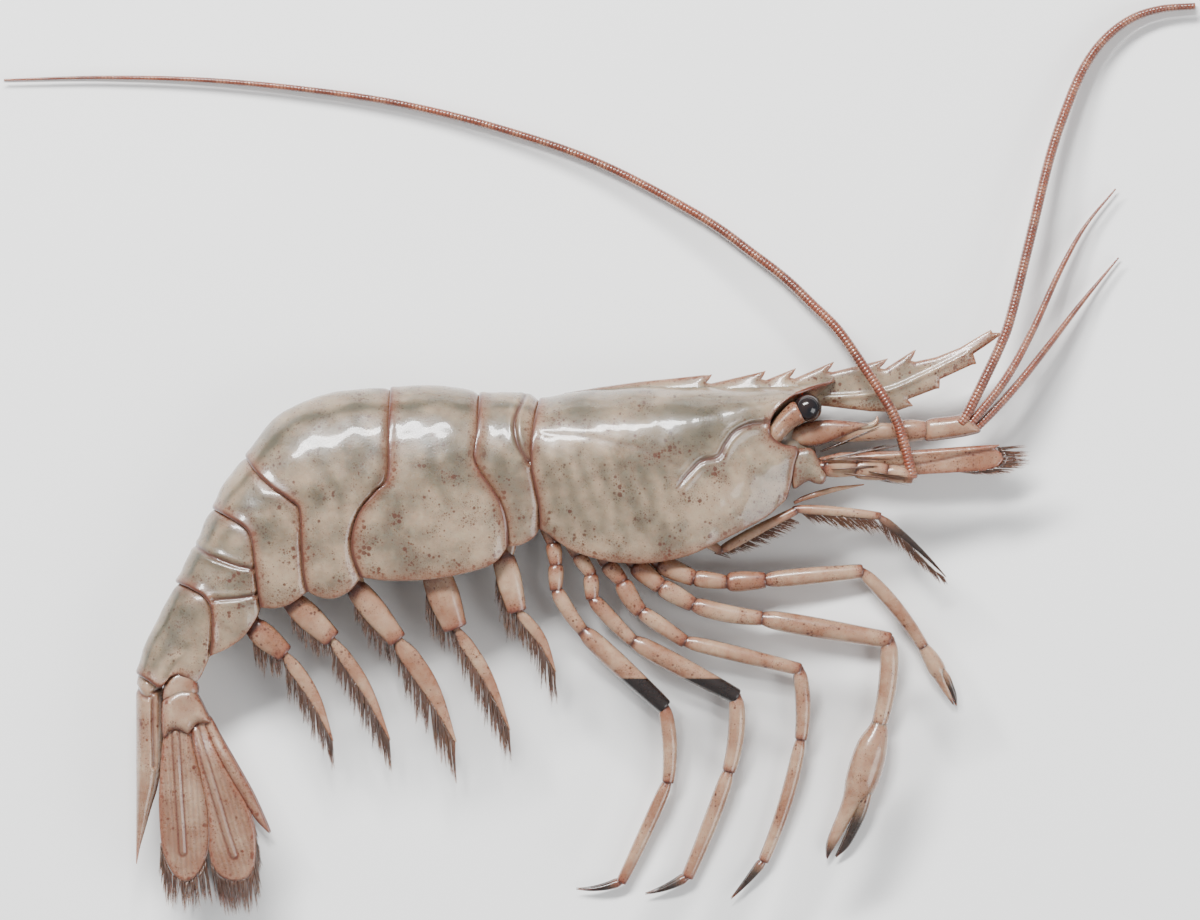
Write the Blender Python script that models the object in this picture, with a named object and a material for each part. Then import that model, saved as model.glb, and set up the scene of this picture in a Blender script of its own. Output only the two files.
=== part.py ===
"""A whole raw shrimp, head and shell on, lying on its left side.

Metres, +Z up. The plane of symmetry is level, MIDPLANE above the board. The head points to +X, the
back to +Y, and the right side faces up. Sizes below are in millimetres, and new_object turns them
into metres. Pieces that touch on the animal keep a gap of GAP between their solids.
"""

import math

import bmesh
import bpy
from mathutils import Vector

MM = 0.001

# Driving dimensions.
MIDPLANE = 5.75  # height of the plane of symmetry above the board
GAP = 0.3  # between neighbouring solids
ROOT_DEPTH = 0.7  # from the belly down to the middle of a limb's root
SHELL_WALL = 0.6  # thickness of the side plates that hang beside the belly
BACK = 0.46  # share of the body's depth over which the back rounds down into the flank
TUCK = 0.26  # how far the flanks turn in towards the belly, as a share of the half width
ROUND_STEPS = 5  # facets from the ridge of the back to the flank
FLANK_STEPS = 4  # facets from the flank to the lower edge
BELLY_STEP = 3  # the flank step at which the belly lies
BELLY = BACK + (1 - BACK) * BELLY_STEP / FLANK_STEPS
BLADE = 0.9  # thickness of the rostrum
BRISTLES = 0.24  # thickness of a fringe of bristles
LIMB_SIDES = 6
LIMB_FLATTEN = 0.85  # a limb's width across the plane of symmetry over its depth in it
LEG_SPREAD = (2.2, 2.9, 3.2, 3.1, 2.9)  # a leg's distance from the plane of symmetry, root to tip
LEG_SAG = 2.0  # how far the tips of the legs hang down towards the board
SHORT_ARTICLE = 4.0  # an article shorter than this is one bulge
SWIM_SPREAD = 0.4  # a swimming leg's distance from the plane of symmetry over its ring's half width
SWIM_SAG = 1.4  # how far a swimming leg hangs down over SWIM_DROP
SWIM_DROP = 16.0
FAN_START = -23.0  # y at which the tail blades leave the tail joint
FAN_REACH = 20.0  # over which they hang down
STALK_APART = 1.9  # each piece's distance from the plane of symmetry
INNER_APART, INNER_SAG = 2.3, 1.9
OUTER_APART, OUTER_SAG = 3.1, 2.2
BLADE_THICKNESS = 0.6
EYES_APART = 3.1
FIRST_FEELER_APART = 1.15
SECOND_FEELER_APART = 3.3
SCALE_APART = 2.1
MOUTH_APART, MOUTH_SAG = 2.2, 0.4
PALP_APART = 1.8
EYE_RINGS, EYE_SIDES = 5, 8  # facets of the cornea
WHIP_SIDES = 5
LONG_WHIP_STEPS, MIDDLE_WHIP_STEPS, SHORT_WHIP_STEPS, SWEEP_STEPS = 14, 8, 6, 21

RIGHT, LEFT = 1, -1
SIDES = {"right": RIGHT, "left": LEFT}

COLOURS = {
    "shell": ((0.60, 0.52, 0.43), 0.32),
    "tail": ((0.62, 0.45, 0.36), 0.35),
    "limb": ((0.66, 0.55, 0.45), 0.38),
    "feeler": ((0.42, 0.16, 0.10), 0.42),
    "cornea": ((0.01, 0.01, 0.012), 0.10),
}


# --- Curves ------------------------------------------------------------------------------------------


def through(points, per_span=10):
    """A smooth curve through these points, as a function of the share t of its length."""
    pts = [Vector(p) for p in points]
    if len(pts) == 2:
        return lambda t: pts[0].lerp(pts[1], t)
    ends = [2 * pts[0] - pts[1], *pts, 2 * pts[-1] - pts[-2]]
    fine = []
    for a, b, c, d in zip(ends, ends[1:], ends[2:], ends[3:]):
        for k in range(per_span):
            s = k / per_span
            bend = (2 * a - 5 * b + 4 * c - d) * s**2 + (3 * b - a - 3 * c + d) * s**3
            fine.append(0.5 * (2 * b + (c - a) * s + bend))
    fine.append(pts[-1])
    run = [0.0]
    for a, b in zip(fine, fine[1:]):
        run.append(run[-1] + (b - a).length)

    def at(t):
        want = min(max(t, 0.0), 1.0) * run[-1]
        k = next((i for i, r in enumerate(run[1:]) if r >= want), len(run) - 2)
        span = run[k + 1] - run[k]
        return fine[k].lerp(fine[k + 1], (want - run[k]) / span if span else 0.0)

    return at


def between(values, t):
    """The value at share t of a short list of evenly spaced values."""
    place = min(max(t, 0.0), 1.0) * (len(values) - 1)
    k = min(int(place), len(values) - 2)
    return values[k] + (values[k + 1] - values[k]) * (place - k)


def patch(front, hind, dorsal, ventral):
    """Points inside four meeting edges: u runs from the front edge to the hind one, v from the back down."""
    front, hind, dorsal, ventral = (through(edge) for edge in (front, hind, dorsal, ventral))

    def at(u, v):
        across = front(v).lerp(hind(v), u)
        along = dorsal(u).lerp(ventral(u), v)
        corners = front(0).lerp(hind(0), u).lerp(front(1).lerp(hind(1), u), v)
        return across + along - corners

    return at


# --- Objects -----------------------------------------------------------------------------------------


def material(name):
    found = bpy.data.materials.get(name)
    if found:
        return found
    colour, roughness = COLOURS[name]
    made = bpy.data.materials.new(name)
    made.use_nodes = True
    shader = made.node_tree.nodes["Principled BSDF"]
    shader.inputs["Base Color"].default_value = (*colour, 1)
    shader.inputs["Roughness"].default_value = roughness
    shader.inputs["Metallic"].default_value = 0.0
    return made


def new_object(name, points, faces, finish, helper=False):
    """An object from points in millimetres, kept above the board, with its faces turned outwards."""
    mesh = bpy.data.meshes.new(name)
    mesh.from_pydata([(x * MM, y * MM, max(z, 0.0) * MM) for x, y, z in points], [], faces)
    bm = bmesh.new()
    bm.from_mesh(mesh)
    bmesh.ops.recalc_face_normals(bm, faces=bm.faces)
    bm.to_mesh(mesh)
    bm.free()
    mesh.shade_smooth()
    mesh.set_sharp_from_angle(angle=math.radians(40))
    mesh.materials.append(material(finish))
    obj = bpy.data.objects.new(name, mesh)
    bpy.context.scene.collection.objects.link(obj)
    obj.parent = shrimp
    if helper:
        obj.hide_render = True
        obj.display_type = "WIRE"
    return obj


def join(obj, helper):
    """Joins a helper solid onto an object."""
    union = obj.modifiers.new("join_" + helper.name, "BOOLEAN")
    union.operation = "UNION"
    union.object = helper


def tube(name, stations, finish, sides=LIMB_SIDES, helper=False):
    """A limb through stations (x, y, z, half depth in the plane of symmetry, half width across it)."""
    centres = [Vector(station[:3]) for station in stations]
    points, faces = [], []
    for n, (*_, depth, width) in enumerate(stations):
        ahead, behind = centres[min(n + 1, len(centres) - 1)], centres[max(n - 1, 0)]
        tangent = (ahead - behind).normalized()
        across = Vector((0, 0, 1)).cross(tangent).normalized()
        up = tangent.cross(across)
        for j in range(sides):
            turn = 2 * math.pi * j / sides
            points.append(centres[n] + across * depth * math.cos(turn) + up * width * math.sin(turn))
    for n in range(len(stations) - 1):
        for j in range(sides):
            a, b = n * sides + j, n * sides + (j + 1) % sides
            faces.append((a, b, b + sides, a + sides))
    faces.append(tuple(range(sides)))
    faces.append(tuple(range(len(points) - sides, len(points))))
    return new_object(name, points, faces, finish, helper)


def plate(name, outline, height, thickness, finish):
    """A flat plate with a thinner rim. height(x, y) is the level of its middle."""
    middle = sum((Vector(p) for p in outline), Vector((0, 0))) / len(outline)
    count = len(outline)
    points, faces = [], []
    for share, level in ((1.0, -0.17), (1.0, 0.17), (0.86, 0.5), (0.86, -0.5)):
        for p in outline:
            q = middle.lerp(Vector(p), share)
            points.append((q.x, q.y, height(q.x, q.y) + level * thickness))
    for j in range(count):
        k = (j + 1) % count
        faces.append((j, k, k + count, j + count))
        faces.append((j + count, k + count, k + 2 * count, j + 2 * count))
        faces.append((j + 3 * count, k + 3 * count, k, j))
    faces.append(tuple(range(2 * count, 3 * count)))
    faces.append(tuple(range(3 * count, 4 * count)))
    return new_object(name, points, faces, finish)


def slab(name, outline, height, thickness, finish, helper=False):
    """A flat plate with square edges."""
    count = len(outline)
    points = [(x, y, height(x, y) - thickness / 2) for x, y in outline]
    points += [(x, y, height(x, y) + thickness / 2) for x, y in outline]
    faces = [(j, (j + 1) % count, (j + 1) % count + count, j + count) for j in range(count)]
    faces.append(tuple(range(count)))
    faces.append(tuple(range(count, 2 * count)))
    return new_object(name, points, faces, finish, helper)


def fringe(obj, edge, lean, lengths, teeth, height):
    """Joins a fringe of bristles onto an object: it hangs from the edge in the direction of lean."""
    along = through(edge)
    outline = [tuple(along(k / teeth)) for k in range(teeth + 1)]
    for k in range(2 * teeth, -1, -1):
        t = k / (2 * teeth)
        length = between(lengths, t) * (1.0 if k % 2 else 0.55)
        outline.append(tuple(along(t) + Vector(lean) * length))
    name = f"{obj.name}_fringe_{len(obj.modifiers)}"
    join(obj, slab(name, outline, height, BRISTLES, "limb", helper=True))


# --- Body shell --------------------------------------------------------------------------------------

# Where one ring of the shell meets the next, from the ridge of the back down to the lower edge.
FACE = [
    (23.4, 7.9), (21.2, 7.25), (19.3, 6.5), (17.7, 5.2), (16.9, 3.8), (17.0, 2.4),
    (18.1, 1.5), (19.6, 1.1), (19.3, -0.6), (19.0, -2.4), (18.5, -4.1),
]
NECK = [(-5.9, 6.1), (-6.4, 4.2), (-6.7, 2.0), (-6.8, -0.5), (-6.4, -2.6), (-6.0, -4.6), (-5.9, -7.0)]
JOINT_1_2 = [
    (-11.9, 6.7), (-12.2, 3.0), (-12.5, 0.4), (-12.1, -1.1),
    (-10.9, -2.8), (-9.9, -4.6), (-9.4, -6.6), (-9.3, -8.8),
]
JOINT_2_3 = [
    (-20.8, 7.2), (-21.0, 3.0), (-21.1, -1.7), (-22.3, -3.2),
    (-23.8, -5.0), (-24.6, -7.2), (-24.6, -9.4), (-23.7, -11.8),
]
JOINT_3_4 = [
    (-35.4, 0.5), (-34.4, -0.9), (-32.7, -2.6), (-30.8, -3.9),
    (-29.9, -5.0), (-29.7, -8.5), (-29.5, -11.3), (-29.1, -13.2),
]
JOINT_4_5 = [
    (-38.7, -4.7), (-37.0, -5.6), (-35.3, -6.7), (-34.7, -8.0),
    (-34.4, -10.4), (-34.1, -13.0), (-33.8, -14.8),
]
JOINT_5_6 = [(-42.3, -12.1), (-40.8, -12.7), (-39.4, -13.6), (-38.7, -15.0), (-38.7, -17.6), (-38.9, -19.6)]
TAIL_JOINT = [(-46.3, -21.2), (-45.1, -21.9), (-43.9, -22.6), (-42.9, -21.6), (-41.7, -21.6), (-40.5, -22.4)]

HEAD_RIDGE = [(20.0, 7.6), (16.0, 7.6), (11.0, 7.6), (6.0, 7.7), (1.0, 7.4), (-3.0, 6.85)]
HEAD_HEM = [
    (16.8, -5.7), (14.2, -7.1), (11.4, -8.5), (8.6, -9.7),
    (5.6, -10.3), (2.6, -10.4), (-0.2, -10.0), (-3.0, -9.0),
]
HEAD_HALF_WIDTHS = [4.2, 5.3, 5.9, 6.05, 5.95, 5.4]

# Each ring of the tail: its ridge and its lower edge between the joints, and its half width, front to back.
RINGS = {
    1: ([(-7.5, 6.7), (-9.6, 6.85)], [(-6.7, -7.9), (-7.8, -8.5)], [5.4, 5.5]),
    2: (
        [(-13.5, 7.1), (-16.0, 7.45), (-18.5, 7.5)],
        [(-10.2, -10.1), (-12.0, -11.0), (-15.0, -11.7), (-18.0, -12.1), (-21.6, -12.1)],
        [5.7, 6.05, 6.0, 5.6],
    ),
    3: (
        [(-24.0, 7.1), (-27.0, 6.7), (-30.0, 5.7), (-32.5, 4.2), (-34.2, 2.3)],
        [(-25.0, -13.2), (-26.5, -13.9), (-28.0, -13.8)],
        [5.45, 5.5, 5.2, 4.8],
    ),
    4: ([(-36.7, -1.0), (-37.9, -2.7)], [(-31.0, -14.5), (-32.5, -14.9)], [4.7, 4.3]),
    5: (
        [(-39.6, -6.3), (-40.4, -8.3), (-41.5, -10.2)],
        [(-34.5, -16.2), (-35.6, -17.7), (-37.2, -18.9)],
        [4.1, 3.6],
    ),
    6: ([(-44.0, -15.4), (-45.5, -18.4), (-46.1, -20.2)], [(-39.4, -20.6), (-39.9, -21.7)], [3.4, 3.0, 2.7]),
}
bellies = {}  # the line of each ring's belly, front to back


def section():
    """(v, share of the half width) from the ridge of the back down to the lower edge of the flank."""
    steps = []
    for k in range(ROUND_STEPS + 1):
        turn = math.pi / 2 * k / ROUND_STEPS
        steps.append((BACK * (1 - math.cos(turn)), math.sin(turn)))
    for k in range(1, FLANK_STEPS + 1):
        share = k / FLANK_STEPS
        steps.append((BACK + (1 - BACK) * share, 1 - TUCK * share**2))
    return steps


def body_ring(name, front, hind, ridge, hem, half_widths, spans):
    """One ring of the body: back and flanks as a shell, and the belly recessed between the side plates."""
    at = patch(front, hind, [front[0], *ridge, hind[0]], [front[-1], *hem, hind[-1]])
    bellies[name] = [at(k / 60, BELLY) for k in range(61)]
    steps = section()
    belly, last = ROUND_STEPS + BELLY_STEP, len(steps) - 1
    inset = GAP / 2 / min((at(0, v) - at(1, v)).length for v, _ in steps)
    points, rings = [], []
    for n in range(spans + 1):
        u = inset + (1 - 2 * inset) * n / spans
        width = between(half_widths, u)
        ring = {}
        for side in (RIGHT, LEFT):
            for i, (v, share) in enumerate(steps):
                p = at(u, v)
                if i or side == RIGHT:
                    ring[side, "outer", i] = len(points)
                    points.append((p.x, p.y, MIDPLANE + side * width * share))
                if i >= belly:
                    ring[side, "inner", i] = len(points)
                    points.append((p.x, p.y, MIDPLANE + side * (width * share - SHELL_WALL)))
        ring[LEFT, "outer", 0] = ring[RIGHT, "outer", 0]
        rings.append(ring)
    around = [(RIGHT, "outer", i) for i in range(last + 1)]
    around += [(RIGHT, "inner", i) for i in range(last, belly - 1, -1)]
    around += [(LEFT, "inner", i) for i in range(belly, last + 1)]
    around += [(LEFT, "outer", i) for i in range(last, 0, -1)]
    faces = []
    for a, b in zip(rings, rings[1:]):
        for here, there in zip(around, around[1:] + around[:1]):
            faces.append((a[here], a[there], b[there], b[here]))
    for ring in (rings[0], rings[-1]):
        for i in range(belly):
            corners = [ring[RIGHT, "outer", i], ring[RIGHT, "outer", i + 1]]
            if i + 1 == belly:
                corners += [ring[RIGHT, "inner", belly], ring[LEFT, "inner", belly]]
            corners += [ring[LEFT, "outer", i + 1], ring[LEFT, "outer", i]]
            faces.append(tuple(dict.fromkeys(corners)))
        for side in (RIGHT, LEFT):
            for i in range(belly, last):
                outer = ring[side, "outer", i], ring[side, "outer", i + 1]
                inner = ring[side, "inner", i + 1], ring[side, "inner", i]
                faces.append(outer + inner)
    return new_object(name, points, faces, "shell")


def carapace():
    """The head shield, one piece with the rostrum that runs forward from its ridge."""
    shield = body_ring("carapace", FACE, NECK, HEAD_RIDGE, HEAD_HEM, HEAD_HALF_WIDTHS, 10)
    join(shield, rostrum())


def rostrum():
    """The blade: teeth lean forward along its top and under its front half, each (x, y, height)."""
    top_teeth = [
        (11.3, 8.5, 0.9), (16.6, 8.9, 0.8), (19.6, 9.1, 1.0), (23.4, 9.8, 0.9),
        (28.8, 10.1, 0.9), (31.6, 10.9, 1.0), (39.0, 13.0, 0.5),
    ]
    under_teeth = [(37.6, 9.7, 0.7), (33.9, 7.3, 0.7), (31.1, 5.6, 0.7)]
    outline = [(6.0, 7.6)]
    for x, y, height in top_teeth:
        outline += [(x, y), (x - 0.5, y - height)]
    outline.append((40.1, 12.7))
    for x, y, height in under_teeth:
        outline += [(x - 0.2, y + height), (x, y)]
    outline += [(29.4, 4.8), (25.0, 5.0), (20.5, 5.6), (17.2, 5.6), (10.0, 6.4)]
    return slab("rostrum_blade", outline, lambda x, y: MIDPLANE, BLADE, "shell", helper=True)


def abdomen():
    """Six rings. The side plates of the second are the broadest and lap over both neighbours."""
    joints = [NECK, JOINT_1_2, JOINT_2_3, JOINT_3_4, JOINT_4_5, JOINT_5_6, TAIL_JOINT]
    for number, (ridge, hem, half_widths) in RINGS.items():
        spans = 4 if number in (2, 3) else 3
        name = f"abdomen_{number}"
        body_ring(name, joints[number - 1], joints[number], ridge, hem, half_widths, spans)


def under_belly(ring, x):
    """The point just under a ring's belly at this x, where a limb is rooted."""
    nearest = min(bellies[ring], key=lambda p: abs(p.x - x))
    return nearest - Vector((0, ROOT_DEPTH))


# --- Tail fan ----------------------------------------------------------------------------------------


def tail_height(side, spread, sag):
    """The level of a tail blade that hangs down by sag from the tail joint to its far end."""

    def height(x, y):
        return MIDPLANE + side * spread - sag * min(max((FAN_START - y) / FAN_REACH, 0.0), 1.0) ** 1.5

    return height


def telson():
    profile = [
        (-45.05, -23.0, 1.05, 1.5), (-45.0, -25.0, 1.35, 1.75), (-45.1, -30.0, 1.25, 1.55),
        (-45.6, -34.5, 0.8, 1.0), (-46.05, -38.0, 0.35, 0.45), (-46.3, -40.3, 0.1, 0.12),
    ]
    tube("telson", [(x, y, MIDPLANE, depth, width) for x, y, depth, width in profile], "tail", sides=8)


def uropods(word, side):
    """One side of the tail fan: a stalk, two blades with fringes, and the outer one's stiff rib."""
    stalk = [
        (-43.5, -23.6), (-42.2, -22.4), (-40.6, -23.1), (-39.3, -25.3),
        (-38.9, -26.4), (-40.3, -26.6), (-41.2, -27.2), (-43.5, -27.4),
    ]
    inner = [
        (-43.4, -27.9), (-43.9, -32.0), (-43.9, -37.0), (-43.4, -40.2), (-42.0, -42.0),
        (-40.6, -41.6), (-39.3, -39.6), (-39.2, -36.5), (-39.9, -32.0), (-41.0, -27.7),
    ]
    outer = [
        (-40.6, -27.4), (-39.4, -32.0), (-38.7, -37.0), (-38.7, -40.0), (-37.6, -41.6),
        (-36.0, -41.9), (-34.6, -40.6), (-34.5, -38.2), (-35.0, -35.8), (-37.1, -32.0), (-39.4, -27.2),
    ]
    rib = [
        (-39.1, -27.1), (-36.7, -32.0), (-34.5, -35.6), (-33.0, -37.2),
        (-33.7, -35.4), (-36.2, -30.6), (-38.6, -26.5),
    ]
    inner_height = tail_height(side, INNER_APART, INNER_SAG)
    outer_height = tail_height(side, OUTER_APART, OUTER_SAG)
    plate(f"uropod_{word}_stalk", stalk, tail_height(side, STALK_APART, 0.0), 1.7, "tail")
    blade = plate(f"uropod_{word}_inner", inner, inner_height, BLADE_THICKNESS, "tail")
    edge = [(-44.0, -39.2), (-42.9, -41.2), (-41.4, -41.8), (-39.6, -40.2)]
    fringe(blade, edge, (0.03, -1), [2.2, 4.0, 4.0, 3.6], 5, inner_height)
    blade = plate(f"uropod_{word}_outer", outer, outer_height, BLADE_THICKNESS, "tail")
    edge = [(-38.6, -40.4), (-37.0, -41.4), (-35.2, -40.8), (-34.6, -38.6)]
    fringe(blade, edge, (0.02, -1), [3.2, 4.6, 4.4, 2.8], 5, outer_height)
    slab(f"uropod_{word}_rib", rib, outer_height, 0.7, "tail")


# --- Head --------------------------------------------------------------------------------------------


def eye(word, side):
    """A short stalk out of the orbit, with the round black cornea on its end."""
    stalk = [(17.7, 2.3, 0.5), (18.4, 2.9, 0.85), (19.2, 3.7, 1.0), (19.6, 4.1, 0.95)]
    level = MIDPLANE + side * EYES_APART
    tube(f"eyestalk_{word}", [(x, y, level, r, r) for x, y, r in stalk], "limb")
    centre, radius = Vector((20.75, 5.3, level)), 1.3
    points, faces = [], []
    for n in range(1, EYE_RINGS):
        lean = math.pi * n / EYE_RINGS
        for j in range(EYE_SIDES):
            turn = 2 * math.pi * j / EYE_SIDES
            flat = Vector((math.cos(turn), math.sin(turn), 0)) * math.sin(lean)
            points.append(centre + radius * (flat + Vector((0, 0, math.cos(lean)))))
    for n in range(EYE_RINGS - 2):
        for j in range(EYE_SIDES):
            a, b = n * EYE_SIDES + j, n * EYE_SIDES + (j + 1) % EYE_SIDES
            faces.append((a, b, b + EYE_SIDES, a + EYE_SIDES))
    faces += [tuple(range(EYE_SIDES)), tuple(range(len(points) - EYE_SIDES, len(points)))]
    new_object(f"cornea_{word}", points, faces, "cornea")


def whip(name, path, height, radii, steps):
    """A long thin feeler. height(t) is its level and radii its half thickness, from root to tip."""
    route = through(path)
    stations = []
    for k in range(steps + 1):
        t = k / steps
        p, r = route(t), between(radii, t)
        stations.append((p.x, p.y, height(t), r, r))
    tube(name, stations, "feeler", sides=WHIP_SIDES)


def antennule(word, side):
    """The first feeler: a jointed stalk under the rostrum, and three whips on its end."""
    stalk = [
        (18.3, 2.5, 0.5), (19.4, 2.5, 0.8), (21.3, 2.7, 1.15), (24.0, 2.9, 1.0), (27.6, 3.0, 0.75),
        (29.6, 2.9, 0.65), (30.3, 2.8, 1.0), (32.4, 2.9, 1.0), (32.9, 3.0, 0.7),
        (33.6, 3.1, 1.1), (36.0, 3.3, 1.05), (37.2, 3.4, 0.6),
    ]
    level = MIDPLANE + side * FIRST_FEELER_APART
    tube(f"antennule_{word}", [(x, y, level, r, 0.7 * r) for x, y, r in stalk], "limb")
    long_path = [
        (37.0, 5.1), (38.6, 8.4), (40.1, 11.6), (41.1, 14.4), (43.0, 22.0), (45.1, 30.5),
        (47.0, 36.0), (48.6, 39.5), (50.6, 42.2), (53.2, 44.2), (56.2, 45.2), (59.7, 45.5),
    ]
    middle_path = [(37.9, 4.6), (40.5, 8.0), (43.2, 12.8), (46.1, 19.0), (48.6, 23.4), (51.7, 27.2)]
    short_path = [(38.5, 3.7), (41.2, 6.9), (44.7, 11.2), (48.2, 15.7), (52.0, 20.3)]
    blunt, fine = (0.5, 0.5, 0.5, 0.45), (0.45, 0.42, 0.35, 0.12)
    # Path, distance of the root from the plane of symmetry, levels of the tips, half thicknesses, facets.
    whips = {
        "long": (long_path, 2.0, {RIGHT: 1.7, LEFT: 0.55}, blunt, LONG_WHIP_STEPS),
        "middle": (middle_path, 1.6, {RIGHT: 1.5, LEFT: 0.6}, fine, MIDDLE_WHIP_STEPS),
        "short": (short_path, 0.9, {RIGHT: 1.4, LEFT: 0.5}, fine, SHORT_WHIP_STEPS),
    }
    for length, (path, spread, tips, radii, steps) in whips.items():
        root, tip = MIDPLANE + side * spread, tips[side]

        def height(t, root=root, tip=tip):
            return tip + (root - tip) * (1 + math.cos(math.pi * t)) / 2

        whip(f"antennule_{word}_{length}_whip", path, height, radii, steps)


def antenna(word, side):
    """The second feeler: a cheek plate, a stout stalk, a flat scale and the whip that sweeps back."""
    level = MIDPLANE + side * SECOND_FEELER_APART
    cheek = [
        (19.8, 0.9), (21.1, 0.9), (22.0, -0.5), (22.6, -1.7), (22.1, -2.4),
        (20.8, -2.2), (19.7, -2.9), (19.5, -1.8), (19.6, -0.4),
    ]
    plate(f"antenna_{word}_cheek", cheek, lambda x, y: level, 1.2, "shell")
    stalk = [
        (22.9, -0.9, 0.7), (24.2, -0.9, 1.1), (27.0, -1.1, 0.95), (29.4, -1.4, 0.85), (30.2, -1.5, 0.6),
    ]
    tube(f"antenna_{word}_stalk", [(x, y, level, r, 0.7 * r) for x, y, r in stalk], "limb")
    scale = [
        (21.9, 0.2), (24.0, 0.7), (30.0, 0.9), (39.2, 1.5), (40.3, 0.6),
        (40.1, -0.3), (38.6, -1.1), (31.0, -1.5), (22.6, -0.9),
    ]

    def scale_height(x, y):
        return MIDPLANE + side * SCALE_APART

    blade = plate(f"antenna_{word}_scale", scale, scale_height, 0.5, "limb")
    edge = [(39.4, 1.2), (39.9, 0.0), (39.0, -0.9)]
    fringe(blade, edge, (1, 0.02), [2.6, 3.1, 2.2], 3, scale_height)
    path = [
        (31.25, -1.8), (30.4, 1.5), (29.5, 4.2), (28.0, 6.8), (26.4, 9.25), (23.8, 13.0), (21.3, 15.5),
        (18.7, 18.0), (15.5, 20.5), (10.0, 24.4), (0.0, 29.7), (-10.0, 33.2), (-20.0, 35.7),
        (-30.0, 37.2), (-40.0, 38.1), (-50.0, 38.35), (-59.8, 38.1),
    ]
    radii = (0.5, 0.5, 0.48, 0.45, 0.41, 0.36, 0.3, 0.22, 0.12)
    # The upper whip passes over the rostrum, then comes down onto the lower one, which lies on the board.
    levels = {
        RIGHT: (9.05, 8.9, 7.7, 5.9, 4.2, 2.9, 2.1, 1.7, 1.5, 1.35, 1.2, 1.05, 0.9),
        LEFT: (2.45, 1.9, 1.1, 0.7, 0.58, 0.54, 0.5, 0.46, 0.42, 0.36, 0.3, 0.24, 0.16),
    }
    whip(f"antenna_{word}_whip", path, lambda t: between(levels[side], t), radii, SWEEP_STEPS)


def mouthparts(word, side):
    """The hindmost mouth limb, folded at an elbow before the shield with bristles under it, and a palp."""
    root = under_belly("carapace", 10.6)
    route = [
        (root.x, root.y, 0.35), (11.0, -8.6, 0.4), (12.0, -9.2, 0.5), (18.2, -6.1, 0.5), (19.4, -5.2, 0.42),
        (20.3, -4.9, 0.5), (24.0, -5.1, 0.5), (27.4, -5.6, 0.4), (28.6, -6.3, 0.48),
        (31.4, -8.6, 0.42), (34.4, -11.6, 0.12),
    ]
    level = MIDPLANE + side * MOUTH_APART - MOUTH_SAG
    limb = tube(f"maxilliped_{word}", [(x, y, level, r, r) for x, y, r in route], "limb")
    fringes = (
        ([(12.6, -9.3), (15.8, -7.6), (19.0, -5.9)], (0.95, -0.3), [1.6, 2.2, 1.4]),
        ([(20.8, -5.2), (24.2, -5.4), (27.6, -5.9)], (0.55, -0.83), [1.4, 1.8, 1.6]),
        ([(28.2, -6.3), (31.2, -8.8), (33.6, -11.2)], (0.42, -0.9), [2.2, 2.8, 1.6]),
    )
    for edge, lean, lengths in fringes:
        fringe(limb, edge, lean, lengths, 3, lambda x, y, level=level: level)
    palp = [(19.6, -4.2, 0.12), (20.6, -3.75, 0.26), (23.4, -2.95, 0.28), (26.2, -2.5, 0.1)]
    level = MIDPLANE + side * PALP_APART
    tube(f"palp_{word}", [(x, y, level, r, r) for x, y, r in palp], "limb", sides=5)


# --- Legs --------------------------------------------------------------------------------------------

# Each walking leg: where it leaves the shell, then for every article its far end, its depth and its bow.
WALKING_LEGS = {
    1: (
        (5.8, -10.3),
        [
            ((9.3, -11.8), 1.7, 0.0), ((12.6, -12.2), 1.5, 0.0), ((16.4, -12.0), 1.8, 0.0),
            ((26.1, -11.1), 1.6, 0.0), ((32.3, -18.6), 1.3, 0.5),
        ],
    ),
    2: (
        (3.4, -10.4),
        [
            ((6.0, -12.6), 1.7, 0.0), ((9.2, -14.4), 1.6, 0.0), ((16.1, -15.8), 1.7, -0.3),
            ((28.9, -18.0), 2.0, 0.0), ((27.9, -26.5), 1.8, 0.5),
        ],
    ),
    3: (
        (0.6, -10.3),
        [
            ((2.2, -12.1), 1.6, 0.0), ((4.0, -15.1), 1.6, -0.2), ((8.4, -18.1), 1.5, 0.0),
            ((19.9, -20.9), 1.4, 0.0), ((20.1, -27.8), 1.4, 0.4), ((16.4, -40.0), 1.2, 0.5),
            ((13.1, -43.9), 0.8, 0.1),
        ],
    ),
    4: (
        (-2.3, -9.4),
        [
            ((-0.9, -11.4), 1.4, 0.0), ((-0.8, -13.8), 1.4, 0.0), ((3.3, -18.1), 1.4, -0.1),
            ((13.6, -23.6), 1.8, 0.0), ((12.9, -31.0), 1.5, 0.5), ((8.8, -41.6), 1.3, 0.2),
            ((4.5, -43.4), 0.9, 0.3),
        ],
    ),
    5: (
        (-4.7, -8.2),
        [
            ((-4.4, -10.4), 1.4, 0.0), ((-4.4, -12.9), 1.4, 0.0), ((-1.7, -17.1), 1.4, -0.2),
            ((6.4, -24.6), 1.8, 0.0), ((6.8, -32.1), 1.5, 0.5), ((2.2, -42.1), 1.2, 0.1),
            ((-2.4, -42.9), 0.8, 0.4),
        ],
    ),
}
# The claws of the first two pairs: the palm's end and depth, then (x, y, half depth) down the fixed finger
# and down the moving one, which starts inside the palm.
CLAWS = {
    1: (
        (33.7, -21.0),
        1.9,
        [(34.0, -22.2, 0.55), (34.5, -23.3, 0.38), (35.1, -24.2, 0.08)],
        [(34.3, -20.9, 0.25), (35.0, -22.4, 0.36), (35.4, -23.3, 0.3), (35.8, -24.3, 0.06)],
    ),
    2: (
        (26.0, -33.0),
        3.3,
        [(24.8, -34.9, 0.72), (23.8, -36.8, 0.6), (22.7, -39.8, 0.12)],
        [(26.5, -33.0, 0.4), (26.1, -35.2, 0.5), (25.2, -37.4, 0.48), (23.6, -39.6, 0.08)],
    ),
}


def leg_height(side, t):
    return MIDPLANE + side * between(LEG_SPREAD, t) - LEG_SAG * t**2


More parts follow.
